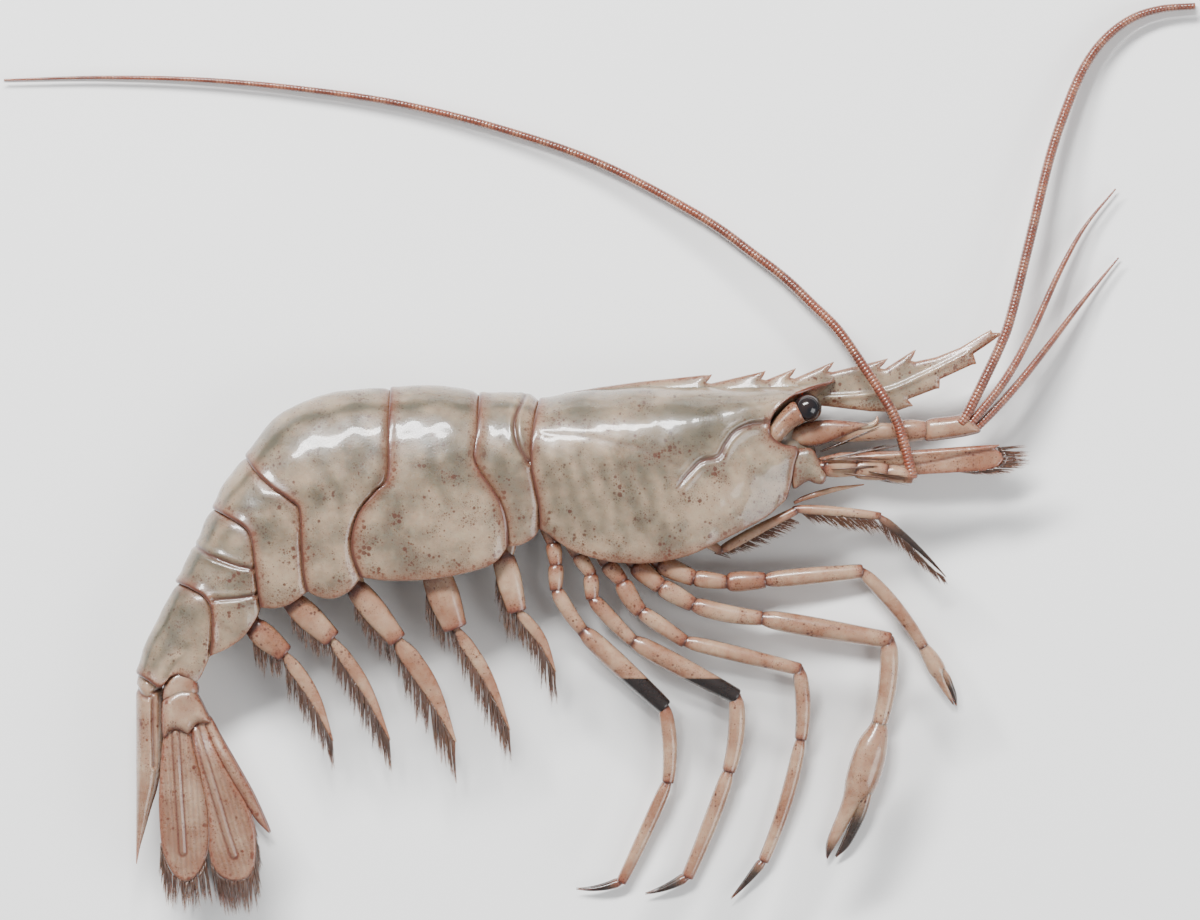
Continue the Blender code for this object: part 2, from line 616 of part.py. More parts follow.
def leg_profile(number):
    """Points down the middle of a leg with half depths: each article is full, and narrow at its joints."""
    leaves, articles = WALKING_LEGS[number]
    profile = [(under_belly("carapace", leaves[0] - 1.0), 0.5)]
    start = Vector(leaves)
    for n, (end, depth, bow) in enumerate(articles):
        end = Vector(end)
        chord = end - start
        out = Vector((-chord.y, chord.x)).normalized() * bow
        is_tip = n + 1 == len(articles) and number not in CLAWS
        swell = ((0.5, 1.0),) if chord.length < SHORT_ARTICLE else ((0.25, 1.0), (0.75, 0.95))
        for share, fullness in swell:
            taper = 1 - 0.75 * share if is_tip else 1.0
            middle = start + chord * share + out * 3 * share * (1 - share)
            profile.append((middle, depth / 2 * fullness * taper))
        next_depth = articles[n + 1][1] if n + 1 < len(articles) else depth
        profile.append((end, 0.08 if is_tip else 0.38 * min(depth, next_depth)))
        start = end
    if number in CLAWS:
        palm, depth, fixed_finger, _ = CLAWS[number]
        for share, fullness in ((0.3, 0.88), (0.68, 1.0), (1.0, 0.85)):
            profile.append((start.lerp(Vector(palm), share), depth / 2 * fullness))
        profile += [(Vector((x, y)), half_depth) for x, y, half_depth in fixed_finger]
    return profile


def walking_leg(word, side, number):
    profile = leg_profile(number)
    total = sum((b[0] - a[0]).length for a, b in zip(profile, profile[1:]))
    stations, run = [], 0.0
    for n, (p, r) in enumerate(profile):
        if n:
            run += (p - profile[n - 1][0]).length
        width = min(r * LIMB_FLATTEN, 0.75 + 0.2 * r)
        stations.append((p.x, p.y, leg_height(side, run / total), r, width))
    leg = tube(f"leg_{number}_{word}", stations, "limb")
    if number in CLAWS:
        level = leg_height(side, 0.9)
        finger = [(x, y, level, r, LIMB_FLATTEN * r) for x, y, r in CLAWS[number][3]]
        join(leg, tube(f"leg_{number}_{word}_finger", finger, "limb", helper=True))


# Swimming legs: x of the root, hip, knee and tip, depth of the broad upper part, then the lengths of its
# bristles and of the blade's.
SWIMMING_LEGS = {
    1: (-8.8, (-9.7, -9.6), (-8.3, -15.0), (-4.4, -21.2), 2.5, 3.2, 3.4),
    2: (-16.4, (-16.5, -11.2), (-14.5, -16.7), (-9.0, -27.0), 3.2, 3.4, 3.2),
    3: (-25.0, (-24.4, -12.8), (-20.3, -17.9), (-14.4, -28.2), 2.5, 3.0, 4.6),
    4: (-31.2, (-30.7, -14.2), (-26.9, -17.8), (-21.0, -28.0), 2.6, 2.6, 3.4),
    5: (-35.0, (-34.6, -16.7), (-31.6, -19.3), (-26.7, -28.1), 2.5, 2.6, 3.2),
}


def swimming_leg(word, side, number):
    """A broad upper part and a narrow blade below the knee, with bristles hanging from their hind edges."""
    root_x, hip, knee, tip, depth, upper_bristles, blade_bristles = SWIMMING_LEGS[number]
    ring = f"abdomen_{number}"
    root, hip, knee, tip = under_belly(ring, root_x), Vector(hip), Vector(knee), Vector(tip)
    spread = SWIM_SPREAD * RINGS[number][2][0]

    def height(x, y):
        return MIDPLANE + side * spread - SWIM_SAG * min(max((hip.y - y) / SWIM_DROP, 0.0), 1.0)

    bow = Vector((-(tip - knee).y, (tip - knee).x)).normalized() * 0.5
    profile = [(root, 0.5)]
    for share, fullness in ((0.25, 1.0), (0.8, 0.85), (1.02, 0.4)):
        profile.append((hip.lerp(knee, share), depth / 2 * fullness))
    for share, half_depth in ((0.15, 0.5), (0.45, 0.6), (0.75, 0.4), (1.0, 0.1)):
        profile.append((knee.lerp(tip, share) + bow * 4 * share * (1 - share), half_depth))
    stations = [(p.x, p.y, height(p.x, p.y), r, min(r, 0.55)) for p, r in profile]
    leg = tube(f"swimmeret_{number}_{word}", stations, "limb")
    hind = Vector((-(knee - hip).y, (knee - hip).x)).normalized() * -depth * 0.36
    upper = [tuple(hip.lerp(knee, share) + hind) for share in (0.1, 0.5, 0.95)]
    lower = []
    for share in (0.3, 0.65, 0.97):
        lower.append(tuple(knee.lerp(tip, share) + bow * (4 * share * (1 - share) - 0.5)))
    for edge, length in ((upper, upper_bristles), (lower, blade_bristles)):
        fringe(leg, edge, (0.03, -1), [length * 0.6, length, length, length * 0.9], 3, height)


# --- Assembly ----------------------------------------------------------------------------------------

for old in list(bpy.data.objects):
    bpy.data.objects.remove(old)
shrimp = bpy.data.objects.new("shrimp", None)
bpy.context.scene.collection.objects.link(shrimp)

carapace()
abdomen()
telson()
for word, side in SIDES.items():
    uropods(word, side)
    eye(word, side)
    antennule(word, side)
    antenna(word, side)
    mouthparts(word, side)
    for number in WALKING_LEGS:
        walking_leg(word, side, number)
    for number in SWIMMING_LEGS:
        swimming_leg(word, side, number)
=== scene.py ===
import math

import bmesh
import bpy
import numpy as np
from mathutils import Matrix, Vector, geometry


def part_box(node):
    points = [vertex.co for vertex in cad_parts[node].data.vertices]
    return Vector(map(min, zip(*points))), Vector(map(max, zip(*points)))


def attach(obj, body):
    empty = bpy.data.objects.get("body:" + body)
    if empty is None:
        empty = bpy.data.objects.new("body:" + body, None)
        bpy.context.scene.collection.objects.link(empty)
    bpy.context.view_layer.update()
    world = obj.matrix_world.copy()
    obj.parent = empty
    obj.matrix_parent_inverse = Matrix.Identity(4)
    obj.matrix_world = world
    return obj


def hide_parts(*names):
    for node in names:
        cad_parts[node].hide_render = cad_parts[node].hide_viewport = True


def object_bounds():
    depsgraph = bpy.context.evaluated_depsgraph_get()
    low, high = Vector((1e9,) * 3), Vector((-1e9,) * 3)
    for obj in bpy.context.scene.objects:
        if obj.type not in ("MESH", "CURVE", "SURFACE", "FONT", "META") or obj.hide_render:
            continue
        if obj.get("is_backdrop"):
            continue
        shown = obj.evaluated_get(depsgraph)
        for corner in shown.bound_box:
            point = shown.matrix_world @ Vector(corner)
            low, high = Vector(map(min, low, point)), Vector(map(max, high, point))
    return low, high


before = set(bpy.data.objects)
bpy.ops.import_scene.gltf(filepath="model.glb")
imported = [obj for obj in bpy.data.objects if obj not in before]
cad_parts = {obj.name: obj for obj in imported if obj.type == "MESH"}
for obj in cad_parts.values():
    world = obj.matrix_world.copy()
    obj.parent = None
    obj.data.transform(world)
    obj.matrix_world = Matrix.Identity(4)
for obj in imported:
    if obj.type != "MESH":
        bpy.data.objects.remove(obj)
cad_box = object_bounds()

# A whole raw shrimp that lies on its left side. The head points to +X and the back to +Y, and the plane of
# symmetry is level. Lengths are in millimetres, in the frame's axes, until new_piece turns them into metres.

# --- Head shield --------------------------------------------------------------------------------------
# One stiff, thin shell over head and breast, open below, with the saw-toothed rostrum growing out of its
# ridge. Chitin, a little clear, with red-brown freckles, wet. On the shrimp it hinges on the first tail
# ring at the neck; here both are fixed to the root.

MM = 0.001
low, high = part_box("telson")
MIDPLANE = (low.z + high.z) / 2 / MM
SIDES = {"right": 1, "left": -1}

BACK = 0.46  # share of the body's depth over which the back rounds down into the flank
TUCK = 0.26  # how far the flanks turn in at the lower edge, as a share of the half width
ROUNDING = 0.5  # share of the way round a section that the back takes
BELLY = 0.865  # share of the depth at which the belly lies between the side plates
PLATE = 0.5  # thickness of the side plates
STEP = 0.17  # spacing of the mesh on the shell
DEPTH = 18.0  # of the body, from ridge to lower edge
OVERLAP = 0.1  # how far a lip is turned back under itself from the joint
# The dark at a joint is partly the joint's own colour and partly painted shade between the pieces.
SEAM = 0.2  # how far the dark of a joint reaches over the shell


def smooth(points, per_span=16):
    """A smooth curve through these points, as a function of the share of its length."""
    pts = np.array(points, float)
    ends = np.vstack([2 * pts[0] - pts[1], pts, 2 * pts[-1] - pts[-2]])
    s = np.linspace(0, 1, per_span, endpoint=False)[:, None]
    spans = []
    for a, b, c, d in zip(ends, ends[1:], ends[2:], ends[3:]):
        bend = (2 * a - 5 * b + 4 * c - d) * s**2 + (3 * b - a - 3 * c + d) * s**3
        spans.append((2 * b + (c - a) * s + bend) / 2)
    fine = np.vstack([*spans, pts[-1:]])
    run = np.concatenate([[0], np.cumsum(np.linalg.norm(np.diff(fine, axis=0), axis=1))])
    run /= run[-1]
    return lambda t: np.stack([np.interp(t, run, column) for column in fine.T], -1)


def patch(front, hind, ridge, hem):
    """Points inside four meeting edges: u runs from the front edge to the hind one, v from the back down."""
    front, hind, ridge, hem = (smooth(edge) for edge in (front, hind, ridge, hem))

    def at(u, v):
        u, v = np.broadcast_arrays(u, v)
        across, down = u[..., None], v[..., None]
        between_ends = (1 - across) * front(v) + across * hind(v)
        between_edges = (1 - down) * ridge(u) + down * hem(u)
        top = (1 - across) * front(0.0) + across * hind(0.0)
        bottom = (1 - across) * front(1.0) + across * hind(1.0)
        return between_ends + between_edges - (1 - down) * top - down * bottom

    return at


def rise(value, start, end):
    """0 up to start and 1 from end on, with a soft rise between them."""
    t = np.clip((value - start) / (end - start), 0, 1)
    return t * t * (3 - 2 * t)


def bell(value, width):
    """1 where the value is 0, falling off on both sides over this width."""
    return np.exp(-((value / width) ** 2))


def distance_to(line, points):
    """How far each point is from a line, in the plane of symmetry."""
    line, flat = np.array(line, float), points[..., :2]
    best = np.full(flat.shape[:-1], np.inf)
    for a, b in zip(line, line[1:]):
        run = b - a
        share = np.clip(((flat - a) @ run) / (run @ run), 0, 1)
        best = np.minimum(best, np.linalg.norm(flat - a - share[..., None] * run, axis=-1))
    return best


def ripple(points, size, seed):
    """A soft random swell between about -1 and 1, with bumps of this size."""
    draw = np.random.default_rng(seed)
    total = 0.0
    for _ in range(7):
        wave = draw.normal(size=3)
        wave *= 2 * math.pi / size / np.linalg.norm(wave) * draw.uniform(0.6, 1.4)
        total = total + np.sin(points @ wave + draw.uniform(0, 2 * math.pi))
    return total / 3.5


def through(values):
    """A smooth function of the share t, through evenly spaced values."""
    line = smooth([(k / (len(values) - 1), value) for k, value in enumerate(values)])(np.linspace(0, 1, 200))
    return lambda t: np.interp(t, line[:, 0], line[:, 1])


def lofted(grid, marks):
    """A closed shell from rows of points, each row a loop round it. Both ends are capped."""
    rows, columns = grid.shape[:2]
    index = np.arange(rows * columns).reshape(rows, columns)
    here, there = index[:-1], index[1:]
    quads = np.stack([here, np.roll(here, -1, 1), np.roll(there, -1, 1), there], -1)
    faces = quads.reshape(-1, 4).tolist()
    faces += [index[0, ::-1].tolist(), index[-1].tolist()]
    return grid.reshape(-1, 3), faces, marks.reshape(-1, 3)


def new_piece(name, shells, finish):
    """One object of closed shells (points, faces, marks), in metres, none of it below the board.

    A point's marks say how near a margin it is, how dark what lies under it is, and how deep it sits in a
    fold. The materials read them, and darken folds with painted shade.
    """
    points, faces, marks, start = [], [], [], 0
    for shell_points, shell_faces, shell_marks in shells:
        points.append(shell_points)
        marks.append(shell_marks)
        faces += [[start + corner for corner in face] for face in shell_faces]
        start += len(shell_points)
    points, marks = np.vstack(points), np.vstack(marks)
    points[:, 2] = np.maximum(points[:, 2], 0.0)
    mesh = bpy.data.meshes.new(name)
    mesh.from_pydata((points * MM).tolist(), [], faces)
    for k, mark in enumerate(("margin", "beneath", "fold")):
        layer = mesh.attributes.new(mark, "FLOAT", "POINT")
        layer.data.foreach_set("value", marks[:, k].astype(np.float32))
    bm = bmesh.new()
    bm.from_mesh(mesh)
    bmesh.ops.remove_doubles(bm, verts=bm.verts, dist=1e-7)
    bmesh.ops.delete(bm, geom=[point for point in bm.verts if not point.link_faces], context="VERTS")
    bmesh.ops.recalc_face_normals(bm, faces=bm.faces)
    bm.to_mesh(mesh)
    bm.free()
    mesh.shade_smooth()
    mesh.materials.append(finish)
    made = bpy.data.objects.new(name, mesh)
    bpy.context.scene.collection.objects.link(made)
    return made


# Where one piece of the body shell meets the next, from the ridge of the back down to the lower edge.
FACE = [
    (23.4, 7.9), (21.2, 7.25), (19.3, 6.5), (17.7, 5.2), (16.9, 3.8), (17.0, 2.4),
    (18.1, 1.5), (19.6, 1.1), (19.3, -0.6), (19.0, -2.4), (18.5, -4.1),
]
NECK = [(-5.9, 6.1), (-6.4, 4.2), (-6.7, 2.0), (-6.8, -0.5), (-6.4, -2.6), (-6.0, -4.6), (-5.9, -7.0)]
JOINT_1_2 = [
    (-11.9, 6.7), (-12.2, 3.0), (-12.5, 0.4), (-12.1, -1.1),
    (-10.9, -2.8), (-9.9, -4.6), (-9.4, -6.6), (-9.3, -8.8),
]
JOINT_2_3 = [
    (-20.8, 7.2), (-21.0, 3.0), (-21.1, -1.7), (-22.3, -3.2),
    (-23.8, -5.0), (-24.6, -7.2), (-24.6, -9.4), (-23.7, -11.8),
]
JOINT_3_4 = [
    (-35.4, 0.5), (-34.4, -0.9), (-32.7, -2.6), (-30.8, -3.9),
    (-29.9, -5.0), (-29.7, -8.5), (-29.5, -11.3), (-29.1, -13.2),
]
JOINT_4_5 = [
    (-38.7, -4.7), (-37.0, -5.6), (-35.3, -6.7), (-34.7, -8.0),
    (-34.4, -10.4), (-34.1, -13.0), (-33.8, -14.8),
]
JOINT_5_6 = [(-42.3, -12.1), (-40.8, -12.7), (-39.4, -13.6), (-38.7, -15.0), (-38.7, -17.6), (-38.9, -19.6)]
TAIL_JOINT = [
    (-46.3, -21.2), (-45.1, -21.9), (-43.9, -22.6), (-43.1, -21.7),
    (-42.2, -21.35), (-41.4, -21.7), (-40.5, -22.4),
]
JOINTS = [FACE, NECK, JOINT_1_2, JOINT_2_3, JOINT_3_4, JOINT_4_5, JOINT_5_6, TAIL_JOINT]

# Each piece of the body shell, head shield first: ridge and lower edge between its joints, and half widths.
BODY = [
    (
        [(20.0, 7.4), (16.0, 7.25), (11.0, 7.2), (6.0, 7.3), (1.0, 7.1), (-3.0, 6.75)],
        [
            (16.8, -5.7), (14.2, -7.1), (11.4, -8.5), (8.6, -9.7),
            (5.6, -10.3), (2.6, -10.4), (-0.2, -10.0), (-3.0, -9.0),
        ],
        [4.2, 5.3, 5.9, 6.05, 5.95, 5.4],
    ),
    ([(-7.5, 6.7), (-9.6, 6.85)], [(-6.7, -7.9), (-7.8, -8.5)], [5.4, 5.5]),
    (
        [(-13.5, 7.1), (-16.0, 7.45), (-18.5, 7.5)],
        [(-10.2, -10.1), (-12.0, -11.0), (-15.0, -11.7), (-18.0, -12.1), (-21.6, -12.1)],
        [5.7, 6.05, 6.0, 5.6],
    ),
    (
        [(-24.0, 7.1), (-27.0, 6.7), (-30.0, 5.7), (-32.5, 4.2), (-34.2, 2.3)],
        [(-25.0, -13.2), (-26.5, -13.9), (-28.0, -13.8)],
        [5.45, 5.5, 5.2, 4.8],
    ),
    ([(-36.7, -1.0), (-37.9, -2.7)], [(-31.0, -14.5), (-32.5, -14.9)], [4.7, 4.3]),
    (
        [(-39.6, -6.3), (-40.4, -8.3), (-41.5, -10.2)],
        [(-34.5, -16.2), (-35.6, -17.7), (-37.2, -18.9)],
        [4.1, 3.6],
    ),
    ([(-44.0, -15.4), (-45.5, -18.4), (-46.1, -20.2)], [(-39.4, -20.6), (-39.9, -21.7)], [3.4, 3.0, 2.7]),
]
patches, widths = [], []
for front, hind, (ridge, hem, half_widths) in zip(JOINTS, JOINTS[1:], BODY):
    patches.append(patch(front, hind, [front[0], *ridge, hind[0]], [front[-1], *hem, hind[-1]]))
    widths.append(through(half_widths))

# The worked margins of a body piece, from the shell out to the edge: distance in from the joint, and height
# above the shell. A lip stands proud of the next piece and turns under; a tuck passes beneath a lip.
LIP = np.array([
    (1.2, 0.0), (0.95, 0.01), (0.7, 0.04), (0.5, 0.08), (0.34, 0.115), (0.2, 0.135), (0.08, 0.135),
    (0.0, 0.12), (-0.07, 0.09), (-0.13, 0.04), (-0.16, -0.02), (-0.17, -0.08), (-0.14, -0.14),
    (-0.08, -0.18), (0.0, -0.2), (OVERLAP, -0.2),
])
TUCKED = np.array([
    (1.2, 0.0), (0.98, -0.01), (0.8, -0.03), (0.64, -0.06), (0.5, -0.1), (0.39, -0.14), (0.3, -0.18),
    (0.23, -0.21), (0.17, -0.24), (0.12, -0.26), (0.08, -0.29), (0.05, -0.32), (0.03, -0.35),
    (0.01, -0.38), (0.0, -0.41), (0.0, -0.45),
])
MARGIN = LIP[0, 0]
DISH = (0.93, 0.8, 0.6, 0.35, 0.08)  # how wide the flesh in an opening still is, step by step inwards


def lengths_at(piece, v):
    return np.linalg.norm(patches[piece](1.0, v) - patches[piece](0.0, v), axis=-1)


def in_profile(piece, u, v):
    """Points in the plane of symmetry. Where u runs past 0 or 1, they go on over the neighbouring piece."""
    flat = patches[piece](np.clip(u, 0, 1), v)
    for end, step in ((0.0, -1), (1.0, 1)):
        past = np.maximum((u - end) * step, 0)
        other = piece + step
        if 0 <= other < len(patches):
            share = past * lengths_at(piece, v) / lengths_at(other, v)
            beyond = patches[other](1 - end + step * np.clip(share, 0, 1), v)
        else:
            edge = patches[piece](end, v)
            beyond = edge + (edge - patches[piece](end - 0.05 * step, v)) * (past / 0.05)[..., None]
        flat = np.where((past > 0)[..., None], beyond, flat)
    return flat


def down_the_side(w):
    """How far the place w round a section is past the back: 0 there, 1 at the lower edge."""
    return np.maximum((np.abs(w) - ROUNDING) / (1 - ROUNDING), 0)


def depth_share(w):
    """Share of the depth at the place w round a section: 0 at the ridge, 1 at the lower edge."""
    turn = np.minimum(np.abs(w) / ROUNDING, 1) * math.pi / 2
    return BACK * (1 - np.cos(turn)) + (1 - BACK) * down_the_side(w)


def on_shell(piece, u, w):
    """Points (x, y, z) of a body piece's outer face. w is below 0 on the left side."""
    turn = np.minimum(np.abs(w) / ROUNDING, 1) * math.pi / 2
    share = np.sign(w) * (np.sin(turn) - TUCK * down_the_side(w) ** 2)
    half_width = widths[piece](np.clip(u, 0, 1))
    flat = in_profile(piece, u, depth_share(w))
    return np.concatenate([flat, (MIDPLANE + half_width * share)[..., None]], -1)


def body_shell(piece, front_lip, hind_lip, relief, hollow=(0.4, 0.4)):
    """A closed piece of the body: shell, side plates and belly.

    front_lip and hind_lip give, at each depth, the share of a lip against a tuck. relief gives how far
    the face stands out at its points, and the marks for what lies beneath and for folds; the fold mark
    paints shade. hollow is how far the soft flesh lies inside the front and the hind opening.
    """
    last = 1 - PLATE / 2 / DEPTH
    belly = ROUNDING + (1 - ROUNDING) * (BELLY - BACK) / (1 - BACK)
    # The loop round a section: place w, share of the relief that shows, and depth below the face.
    outer = [(w, 1.0, 0.0) for w in np.linspace(-last, last, 2 * int(DEPTH / STEP) + 1)]
    under = []
    for turn in np.linspace(0, math.pi, 9)[1:]:
        w = last + (1 - last) * math.sin(turn)
        under.append((w, (1 + math.cos(turn)) / 2, PLATE / 2 * (1 - math.cos(turn))))
    under += [(w, 0.0, PLATE) for w in np.linspace(last, belly, 7)[1:]]
    floor = np.linspace(0, 1, 23)[1:-1]
    loop = outer + under + [(belly, 0.0, PLATE) for _ in floor]
    loop += [(-w, shown, depth) for w, shown, depth in under[::-1]]
    w, shown, depth = np.array(loop).T
    first = len(outer) + len(under)
    v = depth_share(w)
    length = lengths_at(piece, v)

    def margin(lip):
        """Distance in from the joint and height, for each row of a worked margin."""
        share = lip(v)[:, None]
        mixed = LIP[:, None] * share + TUCKED[:, None] * (1 - share)
        inner = np.maximum(mixed[..., 0], OVERLAP * share[:, 0])
        return mixed[..., 0] * shown + inner * (1 - shown), mixed[..., 1] * shown

    ahead, ahead_height = margin(front_lip)
    behind, behind_height = margin(hind_lip)
    spans = max(6, int(length.max() / STEP))
    middle = np.linspace(0, 1, spans + 1)[1:-1, None]
    edge = MARGIN / length
    u = np.concatenate([ahead[::-1] / length, edge + (1 - 2 * edge) * middle, 1 - behind / length])
    height = np.concatenate([ahead_height[::-1], np.zeros((spans - 1, len(w))), behind_height])
    w = np.broadcast_to(w, u.shape)
    face = on_shell(piece, u, w)
    inside, tiny = np.clip(u, 0, 1), 0.004
    along = on_shell(piece, inside + tiny, w) - on_shell(piece, inside - tiny, w)
    around = on_shell(piece, inside, w + tiny) - on_shell(piece, inside, w - tiny)
    out = np.cross(along, around)
    out /= np.linalg.norm(out, axis=-1, keepdims=True)
    stand, beneath, fold = relief(face, w)
    swell = 0.05 * ripple(face, 4.5, 11 + piece) + 0.015 * ripple(face, 1.6, 31 + piece)
    grid = face + out * (height + (stand + swell) * shown - depth)[..., None]
    right, left = grid[:, first - 1], grid[:, first + len(floor)]
    down = np.cross(along[:, first], [0, 0, -1])
    down /= np.linalg.norm(down, axis=-1, keepdims=True)
    for k, share in enumerate(floor):
        bulge = 4 * share * (1 - share) * (0.25 + 0.45 * bell(u[:, first] - 0.5, 0.2))
        grid[:, first + k] = right * (1 - share) + left * share + down * bulge[:, None]
    from_joint = np.maximum(np.minimum(u, 1 - u) * length, 0)
    from_edge = np.minimum(from_joint, (1 - v) * DEPTH)
    # Painted shade: the fold mark holds the relief's creases and a band at each joint.
    marks = np.stack([bell(from_edge, 0.8), beneath, np.maximum(fold, bell(from_joint, SEAM))], -1)
    ends = []
    for row, inner_row, deep in ((grid[0], grid[12], hollow[0]), (grid[-1], grid[-13], hollow[1])):
        centre, inwards = row.mean(0), inner_row.mean(0) - row.mean(0)
        inwards /= np.linalg.norm(inwards)
        dish = [centre + (row - centre) * share + inwards * deep * (1 - share**3) for share in DISH]
        ends.append(np.array(dish))
    # The flesh in each opening: darker tone by the beneath mark, painted shade in the recess by the fold
    # mark.
    flesh = np.zeros((len(DISH), len(w[0]), 3))
    flesh[..., 1:] = 0.5
    grid = np.concatenate([ends[0][::-1], grid, ends[1]])
    return lofted(grid, np.concatenate([flesh, marks, flesh]))




def shader_node(tree, kind, inputs=None, **settings):
    """Adds a node. inputs holds values, or the sockets that feed them."""
    made = tree.nodes.new("ShaderNode" + kind)
    for key, value in settings.items():
        setattr(made, key, value)
    for key, value in (inputs or {}).items():
        if isinstance(value, bpy.types.NodeSocket):
            tree.links.new(value, made.inputs[key])
        else:
            made.inputs[key].default_value = value
    return made


def blended(tree, share, first, second, blend_type="MIX"):
    """A colour between two others, by a share that is a value or a socket."""
    mix = shader_node(tree, "Mix", data_type="RGBA", blend_type=blend_type)
    for socket, value in zip((mix.inputs[0], mix.inputs[6], mix.inputs[7]), (share, first, second)):
        if isinstance(value, bpy.types.NodeSocket):
            tree.links.new(value, socket)
        else:
            socket.default_value = value if isinstance(value, float) else (*value, 1.0)
    return mix.outputs[2]


def worked(tree, operation, first, second, clamp=False):
    return shader_node(tree, "Math", {0: first, 1: second}, operation=operation, use_clamp=clamp).outputs[0]


def spread(tree, value, low, high, to_low=0.0, to_high=1.0):
    """A value brought from one range into another, and kept in it."""
    ends = {"Value": value, "From Min": low, "From Max": high, "To Min": to_low, "To Max": to_high}
    return shader_node(tree, "MapRange", ends).outputs[0]


def chitin(name, pale, deep, freckle, margin, beneath, freckled, spots, gloss, scatter, grain=0.02):
    """Wet shell: two tones in soft clouds, freckles, dark margins, and what shows through from beneath.

    freckled is the share of the shell that freckles cover at their thickest, and spots how many lie along
    a millimetre. gloss is the range of roughness, scatter how deep light goes in, and grain the relief.
    """
    made = bpy.data.materials.new(name)
    made.use_nodes = True
    tree = made.node_tree
    shader = tree.nodes["Principled BSDF"]
    place = shader_node(tree, "TexCoord").outputs["Object"]
    place = shader_node(tree, "Mapping", {"Vector": place, "Scale": (1 / MM,) * 3}).outputs[0]

    def noise(scale, detail=3.0, rough=0.5):
        inputs = {"Vector": place, "Scale": scale, "Detail": detail, "Roughness": rough}
        return shader_node(tree, "TexNoise", inputs).outputs["Fac"]

    def mark(word):
        return shader_node(tree, "Attribute", attribute_name=word).outputs["Fac"]

    clouds = spread(tree, noise(0.22, 4.0, 0.6), 0.38, 0.62)
    colour = blended(tree, clouds, pale, deep)
    mottle = spread(tree, noise(1.3, 4.0, 0.6), 0.3, 0.75, 0.0, 0.35)
    colour = blended(tree, mottle, colour, margin)
    # Freckles: one in each cell of a fine net, of uneven size, crowding together near the margins.
    crowd = spread(tree, noise(0.45, 2.0), 0.35, 0.7, 0.25, 1.0)
    crowd = worked(tree, "ADD", crowd, worked(tree, "MULTIPLY", mark("margin"), 0.8), clamp=True)
    crowd = worked(tree, "MULTIPLY", crowd, freckled)
    for scale, strength, rare in ((spots, 0.85, 1.8), (2.1 * spots, 0.75, 1.3), (4.6 * spots, 0.65, 0.9)):
        cells = shader_node(tree, "TexVoronoi", {"Vector": place, "Scale": scale, "Randomness": 1.0})
        size = shader_node(tree, "SeparateColor", {0: cells.outputs["Color"]}).outputs[0]
        reach = worked(tree, "MULTIPLY", crowd, worked(tree, "POWER", size, rare))
        reach = worked(tree, "MULTIPLY", reach, 0.8)
        dot = worked(tree, "SUBTRACT", reach, cells.outputs["Distance"])
        dot = worked(tree, "MULTIPLY", dot, 6.0, clamp=True)
        colour = blended(tree, worked(tree, "MULTIPLY", dot, strength), colour, freckle)
    colour = blended(tree, worked(tree, "MULTIPLY", mark("beneath"), 0.8), colour, beneath)
    colour = blended(tree, worked(tree, "MULTIPLY", mark("margin"), 0.6), colour, margin)
    # Painted shade: the fold mark darkens creases, grooves and joints towards the freckle colour.
    colour = blended(tree, worked(tree, "MULTIPLY", mark("fold"), 0.95), colour, freckle)
    tree.links.new(colour, shader.inputs["Base Color"])
    film = spread(tree, noise(0.8, 5.0, 0.6), 0.3, 0.7, *gloss)
    tree.links.new(film, shader.inputs["Roughness"])
    pits = shader_node(tree, "TexVoronoi", {"Vector": place, "Scale": 3.2, "Randomness": 1.0})
    pitting = spread(tree, pits.outputs["Distance"], 0.0, 0.35, 0.0, 0.5)
    height = worked(tree, "ADD", worked(tree, "MULTIPLY", noise(5.0, 5.0, 0.6), 1.0), pitting)
    bump = shader_node(tree, "Bump", {"Height": height, "Distance": grain * MM, "Strength": 0.8})
    tree.links.new(bump.outputs[0], shader.inputs["Normal"])
    shader.inputs["Subsurface Weight"].default_value = 0.55
    shader.inputs["Subsurface Radius"].default_value = (1.0, 0.55, 0.35)
    shader.inputs["Subsurface Scale"].default_value = scatter * MM
    shader.inputs["IOR"].default_value = 1.45
    shader.inputs["Coat Weight"].default_value = 0.9
    shader.inputs["Coat Roughness"].default_value = 0.07
    shader.inputs["Coat IOR"].default_value = 1.36
    return made


shell_finish = chitin(
    "shell",
    pale=(0.355, 0.272, 0.183),
    deep=(0.145, 0.125, 0.088),
    freckle=(0.085, 0.026, 0.015),
    margin=(0.19, 0.075, 0.04),
    beneath=(0.05, 0.047, 0.030),
    freckled=0.85,
    spots=2.0,
    gloss=(0.24, 0.42),
    scatter=1.6,
)

GROOVE = [
    (7.7, -2.7), (9.0, -1.2), (10.2, -0.1), (11.8, 0.3), (12.5, 1.5), (13.5, 2.8), (15.0, 3.5), (16.8, 3.7),
]
GILL_LINE = [(-5.5, 2.6), (-1.0, 2.3), (4.0, 1.2), (8.0, -0.6)]


def on_back(w):
    """The darker tone of the back, which fades down the flanks."""
    return 0.3 * (1 - rise(depth_share(w) * DEPTH, 0.5, 7.0))


